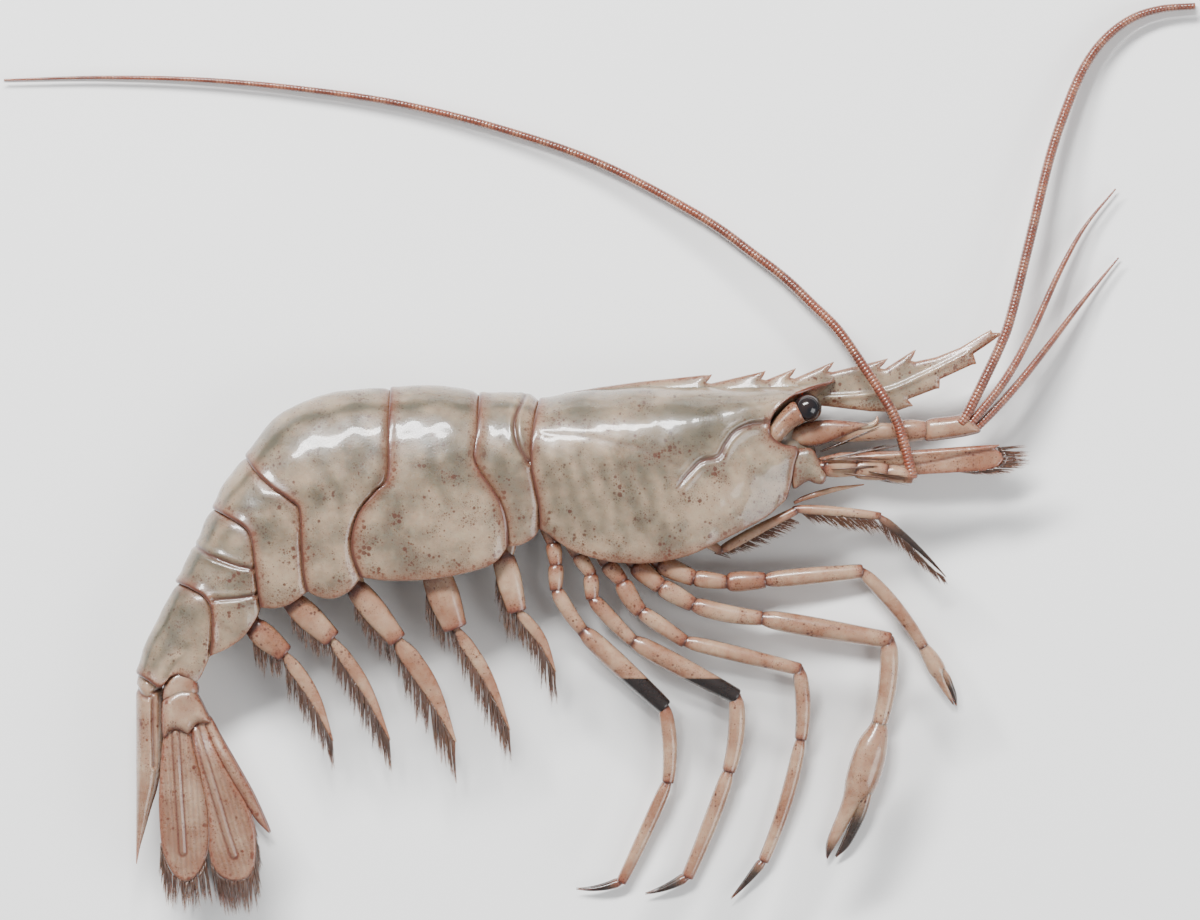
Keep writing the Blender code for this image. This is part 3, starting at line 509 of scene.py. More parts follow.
def head_relief(points, w):
    """A groove from the orbit down over the cheek, a faint line over the gills, and a keel on the ridge."""
    groove = distance_to(smooth(GROOVE)(np.linspace(0, 1, 30)), points)
    fade = rise(points[..., 0], 7.0, 8.5)
    gill = distance_to(GILL_LINE, points)
    keel = bell(w, 0.05) * rise(points[..., 0], 1.0, 6.0)
    stand = fade * (0.09 * bell(groove - 0.55, 0.35) - 0.22 * bell(groove, 0.24))
    stand = stand - 0.05 * bell(gill, 0.3) + 0.12 * keel
    wander = ripple(points, 3.5, 9)
    liver = np.hypot((points[..., 0] - 9.5) / 6.0, (points[..., 1] - 3.6) / 3.4) + 0.15 * wander
    heart = np.hypot((points[..., 0] + 1.0) / 3.2, (points[..., 1] - 4.8) / 1.7) + 0.15 * wander
    beneath = 0.75 * (1 - rise(liver, 0.35, 1.25)) + 0.45 * (1 - rise(heart, 0.2, 1.2))
    plumes = 0.5 + 0.5 * np.cos(2 * math.pi * (points[..., 0] + 0.35 * points[..., 1]) / 1.9 + 0.8 * wander)
    gill_line = np.interp(points[..., 0], *np.array(GILL_LINE).T)
    in_gills = rise(gill_line - points[..., 1], 0.2, 2.2) * (1 - rise(points[..., 0], 5.0, 10.0))
    beneath = beneath + in_gills * (0.15 + 0.4 * plumes) * (1 - rise(-points[..., 1], 6.5, 9.5))
    beneath = np.minimum(beneath + on_back(w), 1.0)
    # The fold mark paints shade in the cheek groove and along the gill line.
    return stand, beneath, fade * bell(groove, 0.26) + 0.25 * bell(gill, 0.25)


def lips_all_round(v):
    return np.ones_like(v)


def tucked_all_round(v):
    return np.zeros_like(v)


def inside(outline, points):
    """Which points lie inside a closed outline."""
    within = np.zeros(len(points), bool)
    for (ax, ay), (bx, by) in zip(outline, np.roll(outline, -1, 0)):
        crosses = (ay > points[:, 1]) != (by > points[:, 1])
        slope = (bx - ax) / (by - ay) if by != ay else 0.0
        within ^= crosses & (points[:, 0] < ax + (points[:, 1] - ay) * slope)
    return within


def leaf(outline, half_thickness, level, marks, step=0.22, rim=(0.04, 0.1, 0.18)):
    """A closed plate inside an outline, thinning to its edge.

    half_thickness and marks take the points and their distances from the edge, and level the points.
    """
    outline = np.array(outline, float)
    closed = np.vstack([outline, outline[:1]])
    pieces_of_edge = np.linalg.norm(np.diff(closed, axis=0), axis=1)
    count = max(24, int(pieces_of_edge.sum() / (0.8 * step)))
    run = np.concatenate([[0], np.cumsum(pieces_of_edge)])
    places = np.unique(np.concatenate([run[:-1], np.linspace(0, run[-1], count, endpoint=False)]).round(3))
    places = places[np.concatenate([np.diff(places) > 0.03, [run[-1] - places[-1] > 0.03]])]
    edge = np.stack([np.interp(places, run, column) for column in closed.T], -1)
    ring = np.vstack([edge, edge[:1]])
    along = np.roll(edge, -1, 0) - np.roll(edge, 1, 0)
    inwards = np.stack([-along[:, 1], along[:, 0]], -1) / np.linalg.norm(along, axis=1)[:, None]
    area = np.sum(edge[:, 0] * np.roll(edge[:, 1], -1) - np.roll(edge[:, 0], -1) * edge[:, 1])
    inwards *= math.copysign(1.0, area)
    rows = []
    for inset in rim:
        row = edge + inwards * inset
        rows.append(row[(distance_to(ring, row) > 0.93 * inset) & inside(edge, row)])
    low, high = edge.min(0), edge.max(0)
    y_lines = np.arange(low[1], high[1], step * math.sqrt(0.75))
    for k, y in enumerate(y_lines):
        x = np.arange(low[0] + (k % 2) * step / 2, high[0], step)
        row = np.stack([x, np.full_like(x, y)], -1)
        row = row[inside(edge, row)]
        if len(row):
            rows.append(row[distance_to(ring, row) > rim[-1] + 0.45 * step])
    flat = np.vstack([edge, *rows])
    made = geometry.delaunay_2d_cdt([Vector(p) for p in flat], [], [list(range(len(edge)))], 1, 1e-5)
    flat = np.array([tuple(p) for p in made[0]])
    from_edge = distance_to(ring, flat)
    on_edge = from_edge < 1e-3
    faces = [face for face in made[2] if not on_edge[list(face)].all()]
    thick = np.where(on_edge, 0.0, half_thickness(flat, from_edge))
    middle = level(flat)
    top = np.column_stack([flat, middle + thick])
    inner = np.flatnonzero(~on_edge)
    bottom = np.column_stack([flat[inner], (middle - thick)[inner]])
    below = np.arange(len(flat))
    below[inner] = len(flat) + np.arange(len(inner))
    under = [[int(below[corner]) for corner in face[::-1]] for face in faces]
    shade = marks(flat, from_edge)
    return np.vstack([top, bottom]), [list(face) for face in faces] + under, np.vstack([shade, shade[inner]])


def rounded(from_edge, radius, thickness):
    """Half the thickness of a plate whose edge is rounded over this radius."""
    t = np.clip(from_edge / radius, 0, 1)
    return thickness / 2 * np.sqrt(1 - (1 - t) ** 2)


# The teeth of the rostrum: the tip of each, and the notch under it.
TOP_TEETH = [
    ((11.25, 8.6), (10.65, 7.75)), ((16.6, 8.95), (16.15, 8.1)), ((19.65, 9.2), (19.0, 8.25)),
    ((23.45, 9.85), (22.8, 8.9)), ((28.85, 10.2), (28.0, 9.2)), ((31.65, 11.05), (31.1, 9.95)),
]
UNDER_TEETH = [((37.65, 9.6), (37.35, 10.6)), ((33.95, 7.15), (34.0, 8.05)), ((31.35, 5.4), (30.8, 6.05))]
RIDGE_LINE = [(20.0, 6.3), (24.5, 6.3), (28.8, 6.9), (32.5, 8.5), (36.0, 10.2), (39.8, 12.35)]
BLADE = 0.9  # thickness of the rostrum


def rostrum():
    """The blade: teeth lean forward along its top and under its front half, with a ridge on each side."""
    outline = [(-3.6, 6.7), (0.0, 7.3), (4.0, 7.85), (8.0, 8.25), (10.3, 8.5)]
    for (x, y), (notch_x, notch_y) in TOP_TEETH:
        outline += [(x - 0.35, y - 0.1), (x, y), ((x + notch_x) / 2 - 0.02, (y + notch_y) / 2 - 0.12)]
        outline += [(notch_x, notch_y), (notch_x + 0.45, notch_y - 0.08)]
    outline += [(33.6, 10.3), (36.0, 11.25), (38.2, 12.55), (39.1, 13.05), (39.25, 12.75), (40.35, 12.75)]
    outline += [(39.6, 12.15), (38.4, 11.3)]
    for (x, y), (notch_x, notch_y) in UNDER_TEETH:
        outline += [(notch_x, notch_y), ((x + notch_x) / 2 + 0.02, (y + notch_y) / 2)]
        outline += [(x, y), (x - 0.45, y - 0.08)]
    outline += [(29.4, 4.8), (27.0, 4.85), (24.0, 5.2), (20.5, 5.6), (16.5, 5.8)]
    outline += [(10.0, 6.2), (4.0, 6.2), (-3.0, 6.2)]
    ridge = smooth(RIDGE_LINE)(np.linspace(0, 1, 60))

    def half_thickness(flat, from_edge):
        body = rounded(from_edge, 0.9, BLADE)
        rooted = (1 - rise(flat[:, 1], 6.6, 8.2)) * (flat[:, 0] < 20.0)
        fine = 1 - 0.45 * rise(flat[:, 0], 30.0, 40.0) + 0.9 * rooted
        return (body + 0.3 * bell(distance_to(ridge, flat), 0.3) * rise(from_edge, 0.0, 0.5)) * fine

    def level(flat):
        return np.full(len(flat), MIDPLANE)

    def marks(flat, from_edge):
        tip = 0.8 * rise(flat[:, 0], 30.0, 40.0)
        return np.stack([np.maximum(bell(from_edge, 0.4), tip), 0 * from_edge, 0 * from_edge], -1)

    return leaf(outline, half_thickness, level, marks, step=0.2)


def ring_of(centre, tangent, half_depth, half_width, sides):
    """Loops round each point of a line: half_depth lies in the plane of symmetry, half_width across it."""
    across = np.cross([0.0, 0.0, 1.0], tangent)
    across /= np.linalg.norm(across, axis=-1, keepdims=True)
    up = np.cross(tangent, across)
    turn = np.linspace(0, 2 * math.pi, sides, endpoint=False)
    flat = across[:, None] * (half_depth[:, None] * np.cos(turn))[..., None]
    return centre[:, None] + flat + up[:, None] * (half_width[:, None] * np.sin(turn))[..., None]


def tangents(line):
    """Unit directions along a line of points."""
    run = np.gradient(line, axis=0)
    return run / np.maximum(np.linalg.norm(run, axis=1, keepdims=True), 1e-9)


def face_core():
    """The soft front of the head, between the roots of the eyes and feelers."""
    stations = [
        (15.2, 2.6, 3.2), (17.2, 2.3, 3.0), (18.8, 1.2, 2.6),
        (20.0, -0.2, 2.1), (20.9, -1.0, 1.2), (21.2, -1.3, 0.2),
    ]
    x, y, depth = smooth(stations)(np.linspace(0, 1, 40)).T
    line = np.stack([x, y, np.full_like(x, MIDPLANE)], -1)
    grid = ring_of(line, tangents(line), depth, 0.95 * depth, 36)
    grid = grid + 0.12 * ripple(grid, 1.5, 5)[..., None] * (grid - line[:, None]) / 3.0
    marks = np.zeros(grid.shape)
    marks[..., 1] = 0.45
    # A little painted shade over the whole recessed face, by the fold mark.
    marks[..., 2] = 0.25
    return lofted(grid, marks)


shield = body_shell(0, lips_all_round, lips_all_round, head_relief, hollow=(1.8, 0.4))
shield = new_piece("head_shield", [shield, rostrum(), face_core()], shell_finish)
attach(shield, "root")
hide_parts("carapace")

# --- Tail rings ---------------------------------------------------------------------------------------
# Six rings of the same shell, all fixed to the root; on the shrimp they hinge at the flanks so that the
# tail can curl. Each one's hind edge laps over the next, but the broad side plates of the second lap over
# both its neighbours.

MUSCLE_BANDS = {1: 1.0, 2: 2.0, 3: 2.5, 4: 1.5, 5: 1.5, 6: 2.0}  # how many show through along each ring
CRESCENT = [(-7.5, 6.4), (-8.4, 4.5), (-8.5, 3.0), (-8.1, 1.3), (-7.1, -0.2)]
CREASES = [
    [(-40.4, -8.6), (-38.8, -9.6), (-36.5, -10.5), (-34.6, -10.9)],
    [(-38.6, -14.0), (-36.0, -13.8), (-34.3, -13.5)],
]


def ring_relief(number):
    """Soft muscle bands and the dark gut under the shell, and the creases that only some rings have."""
    creases = {1: [CRESCENT], 5: CREASES}.get(number, [])

    def relief(points, w):
        down = depth_share(w) * DEPTH
        stand = np.zeros(points.shape[:-1])
        fold = np.zeros(points.shape[:-1])
        for crease in creases:
            away = distance_to(smooth(crease)(np.linspace(0, 1, 24)), points)
            stand = stand + 0.08 * bell(away - 0.5, 0.3) - 0.2 * bell(away, 0.22)
            # Painted shade in the crease, by the fold mark.
            fold = np.maximum(fold, bell(away, 0.24))
        wander = ripple(points, 5.0, 7)
        gut = bell(down - 1.6 - 0.25 * wander, 0.42) * (0.8 + 0.3 * ripple(points, 2.5, 3))
        from_front, from_hind = (distance_to(joint, points) for joint in JOINTS[number:number + 2])
        across = from_front / (from_front + from_hind + 1e-6)
        bands = MUSCLE_BANDS[number] * across + 0.12 * down + 0.35 * wander
        muscle = 0.5 + 0.5 * np.cos(2 * math.pi * bands)
        muscle = muscle * rise(down, 1.8, 4.0) * (1 - rise(down, 8.5, 12.5))
        return stand, np.minimum(0.9 * gut + 0.65 * muscle + on_back(w), 1.0), fold

    return relief


def second_over(v):
    """The share of a lip on the second ring where it meets the first: its side plates lie on top."""
    return rise(v, 0.38, 0.5)


ring_edges = {
    1: (tucked_all_round, lambda v: 1 - second_over(v)),
    2: (second_over, lips_all_round),
}
for number in range(1, 7):
    front_lip, hind_lip = ring_edges.get(number, (tucked_all_round, lips_all_round))
    ring = body_shell(number, front_lip, hind_lip, ring_relief(number))
    ring = new_piece(f"tail_ring_{number}", [ring], shell_finish)
    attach(ring, "root")
    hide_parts(f"abdomen_{number}")

# --- Tail fan -----------------------------------------------------------------------------------------
# The telson is a stiff spear on the last ring. A stalk on each side of it carries two thin, clear blades
# with a rib down the middle and a fringe of bristles, and the outer blade has a stiff pointed edge.

FAN_START, FAN_REACH = -23.0, 20.0  # where the blades begin to hang down, and over what length
# The telson: x and y of its middle, half depth and half width.
SPEAR = [
    (-45.0, -20.6, 0.7, 1.0), (-45.05, -21.6, 1.15, 1.4), (-45.02, -23.2, 1.38, 1.7),
    (-45.02, -27.0, 1.38, 1.75), (-45.1, -30.0, 1.3, 1.6), (-45.3, -32.5, 1.1, 1.35),
    (-45.6, -34.5, 0.8, 1.05), (-45.95, -37.0, 0.45, 0.6), (-46.2, -38.8, 0.2, 0.3),
    (-46.35, -40.4, 0.04, 0.06),
]
FURROW = [(-44.68, -23.9), (-44.66, -27.0), (-44.56, -30.6)]
BASE_GROOVE = [(-46.4, -22.7), (-45.9, -23.4), (-45.2, -23.75), (-44.5, -23.2), (-43.9, -22.8)]


def spear():
    """The telson: a raised oval at its base, and a furrow down each side."""
    x, y, depth, width = smooth(SPEAR)(np.linspace(0, 1, 200)).T
    line = np.stack([x, y, np.full_like(x, MIDPLANE)], -1)
    grid = ring_of(line, tangents(line), depth, width, 72)
    furrow = distance_to(FURROW, grid)
    groove = distance_to(smooth(BASE_GROOVE)(np.linspace(0, 1, 30)), grid)
    oval = np.hypot((grid[..., 0] + 45.25) / 1.0, (grid[..., 1] + 22.65) / 0.75)
    # Painted shade in the furrows and the base groove, by the fold mark.
    fold = np.maximum(bell(furrow, 0.16), bell(groove, 0.18))
    stand = 0.12 * (1 - rise(oval, 0.4, 1.1)) - 0.2 * bell(furrow, 0.2) - 0.2 * bell(groove, 0.22)
    stand = stand + 0.06 * bell(furrow - 0.4, 0.2)
    out = grid - line[:, None]
    length = np.linalg.norm(out, axis=-1, keepdims=True)
    grid = grid + out / length * np.maximum(stand[..., None], -0.4 * length)
    marks = np.zeros(grid.shape)
    across = np.abs(np.cos(np.linspace(0, 2 * math.pi, 72, endpoint=False)))
    along = np.linspace(0, 1, 200)[:, None]
    marks[..., 0] = np.maximum(rise(along, 0.8, 1.0), 0.8 * rise(across, 0.86, 1.0))
    marks[..., 2] = 0.9 * fold
    return lofted(grid, marks)


tail_finish = chitin(
    "tail",
    pale=(0.37, 0.265, 0.18),
    deep=(0.23, 0.135, 0.085),
    freckle=(0.10, 0.025, 0.014),
    margin=(0.19, 0.06, 0.033),
    beneath=(0.12, 0.045, 0.027),
    freckled=0.8,
    spots=1.9,
    gloss=(0.20, 0.38),
    scatter=1.0,
)
telson = new_piece("tail_spear", [spear()], tail_finish)
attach(telson, "root")
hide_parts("telson")

JOINT_SKIN = [
    (-43.7, -24.0), (-43.6, -22.6), (-43.0, -21.5), (-42.2, -21.0), (-41.3, -21.2), (-40.5, -21.9),
    (-40.1, -22.9), (-40.6, -23.9), (-42.2, -24.2),
]
STALK = [
    (-43.75, -24.1), (-43.0, -23.3), (-42.2, -22.85), (-41.3, -22.75), (-40.5, -22.95), (-39.9, -23.9),
    (-39.4, -24.9), (-38.85, -26.1), (-39.3, -26.35), (-40.2, -26.4), (-40.7, -26.95), (-41.1, -27.45),
    (-41.8, -27.15), (-42.5, -26.95), (-43.1, -27.25), (-43.6, -27.8), (-43.85, -26.0),
]
INNER_BLADE = [
    (-43.4, -26.6), (-43.75, -28.5), (-43.95, -31.0), (-44.1, -34.0), (-44.0, -37.0), (-43.7, -39.2),
    (-43.1, -40.7), (-42.3, -41.8), (-41.35, -42.15), (-40.4, -41.6), (-39.6, -40.3), (-39.1, -38.6),
    (-39.05, -36.5), (-39.2, -34.0), (-39.9, -31.0), (-40.9, -27.6), (-41.2, -26.4),
]
OUTER_BLADE = [
    (-40.95, -26.8), (-40.6, -28.5), (-40.0, -31.0), (-39.3, -34.3), (-39.05, -37.0), (-39.05, -39.3),
    (-38.6, -40.8), (-37.7, -41.75), (-36.5, -42.1), (-35.3, -41.8), (-34.55, -40.7), (-34.35, -39.0),
    (-34.5, -36.9), (-35.2, -34.6), (-36.6, -32.2), (-38.0, -29.7), (-39.2, -27.0), (-39.6, -25.9),
]
STIFF_EDGE = [
    (-39.5, -25.5), (-38.9, -25.7), (-37.8, -27.7), (-36.2, -30.5), (-34.7, -33.2), (-33.6, -35.6),
    (-32.95, -37.3), (-33.7, -36.7), (-34.5, -35.8), (-35.4, -34.3), (-36.8, -32.0), (-38.2, -29.5),
    (-39.2, -27.3), (-39.6, -26.2),
]
INNER_RIB = [(-42.4, -27.2), (-42.25, -30.0), (-42.05, -33.4), (-41.85, -36.5), (-41.7, -39.2)]
VEINS = 12.0  # how close the veins lie, in radians along a millimetre
ONWARD = 16  # how many steps of the rib the veins beside it run on past its end
OUTER_RIB = [(-40.35, -27.0), (-39.3, -30.5), (-38.2, -34.2), (-37.4, -37.0), (-36.6, -39.5)]


def hanging(side, apart, sag):
    """The level of a tail blade: it leaves the stalk's end, and hangs down by sag towards its far end."""
    def level(flat):
        start = STALK_APART + (apart - STALK_APART) * rise(-flat[:, 1], 26.2, 30.5)
        return MIDPLANE + side * start - sag * np.clip((FAN_START - flat[:, 1]) / FAN_REACH, 0, 1) ** 1.5
    return level


def blade(outline, rib, thickness, level):
    """A thin blade with a round rib down its middle, fine veins, and a slightly thickened rim."""
    outline = smooth(outline + outline[:1])(np.linspace(0, 1, 170, endpoint=False))
    rib = smooth(rib)(np.linspace(0, 1, 40))
    onward = np.array([*rib, rib[-1] + ONWARD * (rib[-1] - rib[-2])])

    def half_thickness(flat, from_edge):
        along, beside = distance_to(rib, flat), distance_to(onward, flat)
        veins = 0.05 * np.cos(VEINS * beside) * rise(from_edge, 0.3, 0.8) * rise(along, 0.3, 0.6)
        body = rounded(from_edge, 0.35, thickness) + 0.07 * bell(from_edge - 0.25, 0.14)
        raised = (0.17 * bell(along, 0.2) - 0.06 * bell(along - 0.4, 0.12)) * rise(from_edge, 0.1, 0.6)
        return body + raised + veins

    def marks(flat, from_edge):
        along, beside = distance_to(rib, flat), distance_to(onward, flat)
        vein = (0.5 - 0.5 * np.cos(VEINS * beside)) * rise(from_edge, 0.2, 0.8) * rise(along, 0.4, 0.7)
        beneath = np.maximum(0.5 * bell(along, 0.16), 0.3 * vein)
        # Painted shade in the groove beside the rib, by the fold mark.
        return np.stack([bell(from_edge, 0.5), beneath, bell(along - 0.38, 0.13)], -1)

    return leaf(outline, half_thickness, level, marks, step=0.17)


def plump(outline, thickness, level):
    """A cushioned plate, thickest in the middle."""
    outline = smooth(outline + outline[:1])(np.linspace(0, 1, 130, endpoint=False))

    def marks(flat, from_edge):
        # Painted shade along the rim, where the plate meets what lies under it, by the fold mark.
        return np.stack([bell(from_edge, 0.4), 0 * from_edge, bell(from_edge, 0.12)], -1)

    return leaf(outline, lambda flat, from_edge: rounded(from_edge, 1.1, thickness), level, marks, step=0.2)


STALK_APART = 1.9  # of the stalk's middle from the plane of symmetry
for word, side in SIDES.items():
    inner_level, outer_level = hanging(side, 2.2, 1.9), hanging(side, 3.0, 2.2)
    under_ring = plump(JOINT_SKIN, 1.5, hanging(side, STALK_APART - 0.35, 0.0))
    fan = {
        "stalk": [plump(STALK, 1.9, hanging(side, STALK_APART, 0.0)), under_ring],
        "inner": [blade(INNER_BLADE, INNER_RIB, 0.42, inner_level)],
        "outer": [blade(OUTER_BLADE, OUTER_RIB, 0.42, outer_level)],
        "rib": [plump(STIFF_EDGE, 0.85, outer_level)],
    }
    for part, shells in fan.items():
        made = new_piece(f"tail_fan_{word}_{part}", shells, tail_finish)
        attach(made, "root")
        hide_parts(f"uropod_{word}_{part}")

# --- Eyes ---------------------------------------------------------------------------------------------
# A stubby stalk stands in each notch of the shield and carries a black compound eye. The cornea is smooth,
# glossy chitin over thousands of facets. On the shrimp a soft pale skin joins it to the stalk; it is not
# built here.

EYES_APART = 3.1  # from the plane of symmetry
EYESTALK = [
    (16.7, 1.7, 0.75), (17.4, 2.5, 0.95), (18.1, 3.4, 1.0),
    (19.0, 4.25, 1.1), (19.7, 4.75, 1.2), (20.0, 4.95, 1.05),
]
CORNEA_CENTRE, CORNEA_RADIUS = (20.75, 5.2), 1.42
CORNEA_BACK = 2.3  # how far round it reaches, in radians, to where it meets the stalk

cornea_finish = bpy.data.materials.new("cornea")
cornea_finish.use_nodes = True
tree = cornea_finish.node_tree
shader = tree.nodes["Principled BSDF"]
place = shader_node(tree, "TexCoord").outputs["Object"]
place = shader_node(tree, "Mapping", {"Vector": place, "Scale": (1 / MM,) * 3}).outputs[0]
sheen = shader_node(tree, "TexNoise", {"Vector": place, "Scale": 0.9, "Detail": 3.0}).outputs["Fac"]
tint = blended(tree, spread(tree, sheen, 0.35, 0.7), (0.004, 0.004, 0.006), (0.022, 0.012, 0.010))
tree.links.new(tint, shader.inputs["Base Color"])
facets = shader_node(tree, "TexVoronoi", {"Vector": place, "Scale": 11.0, "Randomness": 0.25})
facet_bump = {"Height": facets.outputs["Distance"], "Distance": 0.012 * MM, "Strength": 0.5}
tree.links.new(shader_node(tree, "Bump", facet_bump, invert=True).outputs[0], shader.inputs["Normal"])
shader.inputs["Roughness"].default_value = 0.15
shader.inputs["Specular IOR Level"].default_value = 0.2
shader.inputs["Coat Weight"].default_value = 1.0
shader.inputs["Coat Roughness"].default_value = 0.04
shader.inputs["Coat IOR"].default_value = 1.36

limb_finish = chitin(
    "limb",
    pale=(0.40, 0.275, 0.18),
    deep=(0.24, 0.12, 0.07),
    freckle=(0.065, 0.016, 0.010),
    margin=(0.18, 0.045, 0.023),
    beneath=(0.012, 0.007, 0.006),
    freckled=0.75,
    spots=2.6,
    gloss=(0.20, 0.36),
    scatter=1.1,
    grain=0.012,
)


def tube(stations, level, sides=24, flatten=1.0, rows=60, dark=(2.0, 3.0)):
    """A smooth closed tube through stations (x, y, radius), at a level that is a function of the share.

    dark holds the shares between which it grows dark.
    """
    x, y, radius = smooth(stations)(np.linspace(0, 1, rows)).T
    share = np.linspace(0, 1, rows)
    line = np.stack([x, y, level(share) + 0 * share], -1)
    grid = ring_of(line, tangents(line), radius, radius * flatten, sides)
    marks = np.zeros(grid.shape)
    darkened = rise(share, *dark)
    marks[..., 0] = (0.7 * np.maximum(bell(share, 0.1), bell(1 - share, 0.08)) * (1 - darkened))[:, None]
    marks[..., 1] = 1.2 * darkened[:, None]
    return lofted(grid, marks)


def cornea(centre):
    """A dome round the stalk's axis, closed behind."""
    axis = np.array([0.62, 0.72, 0.30])
    axis /= np.linalg.norm(axis)
    side_way = np.cross(axis, [0.0, 0.0, 1.0])
    side_way /= np.linalg.norm(side_way)
    other_way = np.cross(axis, side_way)
    lean = np.linspace(0.03, CORNEA_BACK, 40)[:, None, None]
    turn = np.linspace(0, 2 * math.pi, 48, endpoint=False)[None, :, None]
    grid = np.sin(lean) * (np.cos(turn) * side_way + np.sin(turn) * other_way) + 0.97 * np.cos(lean) * axis
    return lofted(centre + CORNEA_RADIUS * grid, np.zeros(grid.shape))


for word, side in SIDES.items():
    level = MIDPLANE + side * EYES_APART
    stalk = new_piece(f"eye_stalk_{word}", [tube(EYESTALK, lambda share, level=level: level)], limb_finish)
    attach(stalk, "root")
    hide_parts(f"eyestalk_{word}")
    eye = new_piece(f"eye_{word}", [cornea(np.array([*CORNEA_CENTRE, level]))], cornea_finish)
    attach(eye, "root")
    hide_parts(f"cornea_{word}")

# --- First feelers ------------------------------------------------------------------------------------
# Each has a stalk of three stout articles below the rostrum, a curved spine beside the first, and three
# whips on the last: one long and blunt, two fine. A whip is a row of short rings, so on the shrimp it
# bends anywhere; here each whip is one fixed piece.

FEELERS_APART = 1.15
FIRST_ARTICLE = [
    (18.3, 1.6), (20.2, 1.35), (21.9, 1.45), (24.0, 2.2), (26.3, 3.15), (27.4, 3.45), (26.2, 3.75),
    (23.2, 4.05), (20.9, 3.85), (19.4, 3.2), (18.5, 2.4),
]
HOOK = [(26.0, 3.3, 0.3), (27.0, 3.45, 0.26), (27.6, 3.85, 0.22), (27.7, 4.4, 0.06)]
STALK_ARTICLES = [((22.5, 2.7), (29.9, 2.9), 1.9), ((29.9, 2.9), (32.7, 3.0), 2.2)]
LAST_ARTICLE = [
    (32.3, 2.6), (32.7, 1.9), (35.0, 2.1), (37.0, 2.45), (38.05, 2.85), (37.6, 3.65),
    (36.5, 4.5), (34.6, 4.35), (32.8, 4.1), (32.35, 3.4),
]
LONG_WHIP = [
    (36.0, 3.6), (36.7, 4.6), (38.6, 8.4), (40.1, 11.6), (41.1, 14.4), (43.0, 22.0), (45.1, 30.5),
    (47.0, 36.0), (48.6, 39.5), (50.6, 42.2), (53.2, 44.2), (56.2, 45.2), (59.7, 45.5),
]
MIDDLE_WHIP = [(36.4, 3.2), (37.3, 4.0), (40.5, 8.0), (43.2, 12.8), (46.1, 19.0), (48.6, 23.4), (51.7, 27.2)]
SHORT_WHIP = [(36.7, 2.9), (37.9, 3.5), (41.2, 6.9), (44.7, 11.2), (48.2, 15.7), (52.0, 20.3)]
BLUNT, FINE = (0.5, 0.5, 0.5, 0.48, 0.34), (0.45, 0.42, 0.35, 0.24, 0.08)
# Path, distance of the root from the plane of symmetry, levels of the tips, and radii.
WHIPS = {
    "long": (LONG_WHIP, 1.8, {1: 1.7, -1: 0.55}, BLUNT),
    "middle": (MIDDLE_WHIP, 1.45, {1: 1.5, -1: 0.6}, FINE),
    "short": (SHORT_WHIP, 0.9, {1: 1.4, -1: 0.5}, FINE),
}
WHIP_RING = 0.36  # length of one ring of a whip

whip_finish = chitin(
    "feeler",
    pale=(0.25, 0.068, 0.032),
    deep=(0.145, 0.036, 0.018),
    freckle=(0.045, 0.012, 0.008),
    margin=(0.05, 0.014, 0.009),
    beneath=(0.33, 0.15, 0.085),
    freckled=0.3,
    spots=2.2,
    gloss=(0.30, 0.44),
    scatter=0.4,
    grain=0.008,
)


def article(start, end, depth, level, bow=0.0, root=0.62, tip=0.84, pointed=False, flatten=0.85, band=None):
    """One article of a limb, from start to end in the plane of symmetry.

    Its rounded root sits in the article before. Its far end is a raised rim round a soft centre, or a
    point. level gives the height at each share of the way, and band how dark the shell is there.
    """
    start, end = np.array(start, float), np.array(end, float)
    chord = end - start
    length = np.linalg.norm(chord)
    out = np.array([-chord[1], chord[0]]) / length * bow
    fine = 2.5 if band else 1.0
    rows, sides = max(14, int(fine * length / STEP)), int(fine * 20)
    if pointed:
        share = np.linspace(0, 1, rows)
        full = root + (1 - root) * rise(share, 0, 0.15) - (1 - 0.05) * share**1.25
    else:
        swell = smooth([(0.0, root), (0.13, 0.94), (0.45, 1.0), (0.85, tip * 1.04), (1.0, tip * 0.95)])
        share, full = swell(np.linspace(0, 1, rows)).T
    dome = np.linspace(0.2, math.pi / 2, 7)[:-1]
    share = np.concatenate([-root * depth / 2 / length * np.cos(dome), share])
    full = np.concatenate([root * np.sin(dome), full])
    if not pointed:
        share = np.concatenate([share, 1 + np.array([0.08, 0.14, 0.18, 0.18, 0.1, 0.0]) / length])
        full = np.concatenate([full, tip * np.array([0.92, 0.86, 0.78, 0.7, 0.63, 0.56])])
    flat = start + chord * share[:, None] + out * (3 * share * (1 - share))[:, None]
    line = np.column_stack([flat, level(share)])
    radius = depth / 2 * full
    width = np.minimum(flatten * radius, 0.75 + 0.2 * radius)
    grid = ring_of(line, tangents(start_to_end(line)), radius, width, sides)
    from_root, from_tip = share * length, (1 - share) * length
    tip_tint = 0 * share if pointed else bell(from_tip, 0.6)
    tip_fold = 0 * share if pointed else bell(from_tip + 0.15, 0.22)
    marks = np.zeros(grid.shape)
    marks[..., 0] = np.maximum(bell(from_root, 0.7), tip_tint)[:, None]
    # Painted shade where the root sits in the article before and at the far rim, by the fold mark.
    marks[..., 2] = np.maximum(bell(from_root, 0.3), tip_fold)[:, None]
    if pointed:
        marks[..., 1] = 1.2 * rise(share, -0.2, 0.4)[:, None]
    if band:
        marks[..., 1] = band(grid)
        marks[..., 0] *= marks[..., 1] < 0.3
        marks[..., 2] *= marks[..., 1] < 0.3
    return lofted(grid, marks)


def start_to_end(line):
    """The same line with its steps kept in order where it turns back on itself at a rim."""
    step = line[len(line) // 2 + 1] - line[len(line) // 2]
    ordered = line.copy()
    for k in range(1, len(line)):
        if (line[k] - ordered[k - 1]) @ step < 1e-9:
            ordered[k] = ordered[k - 1] + 0.01 * step
    return ordered


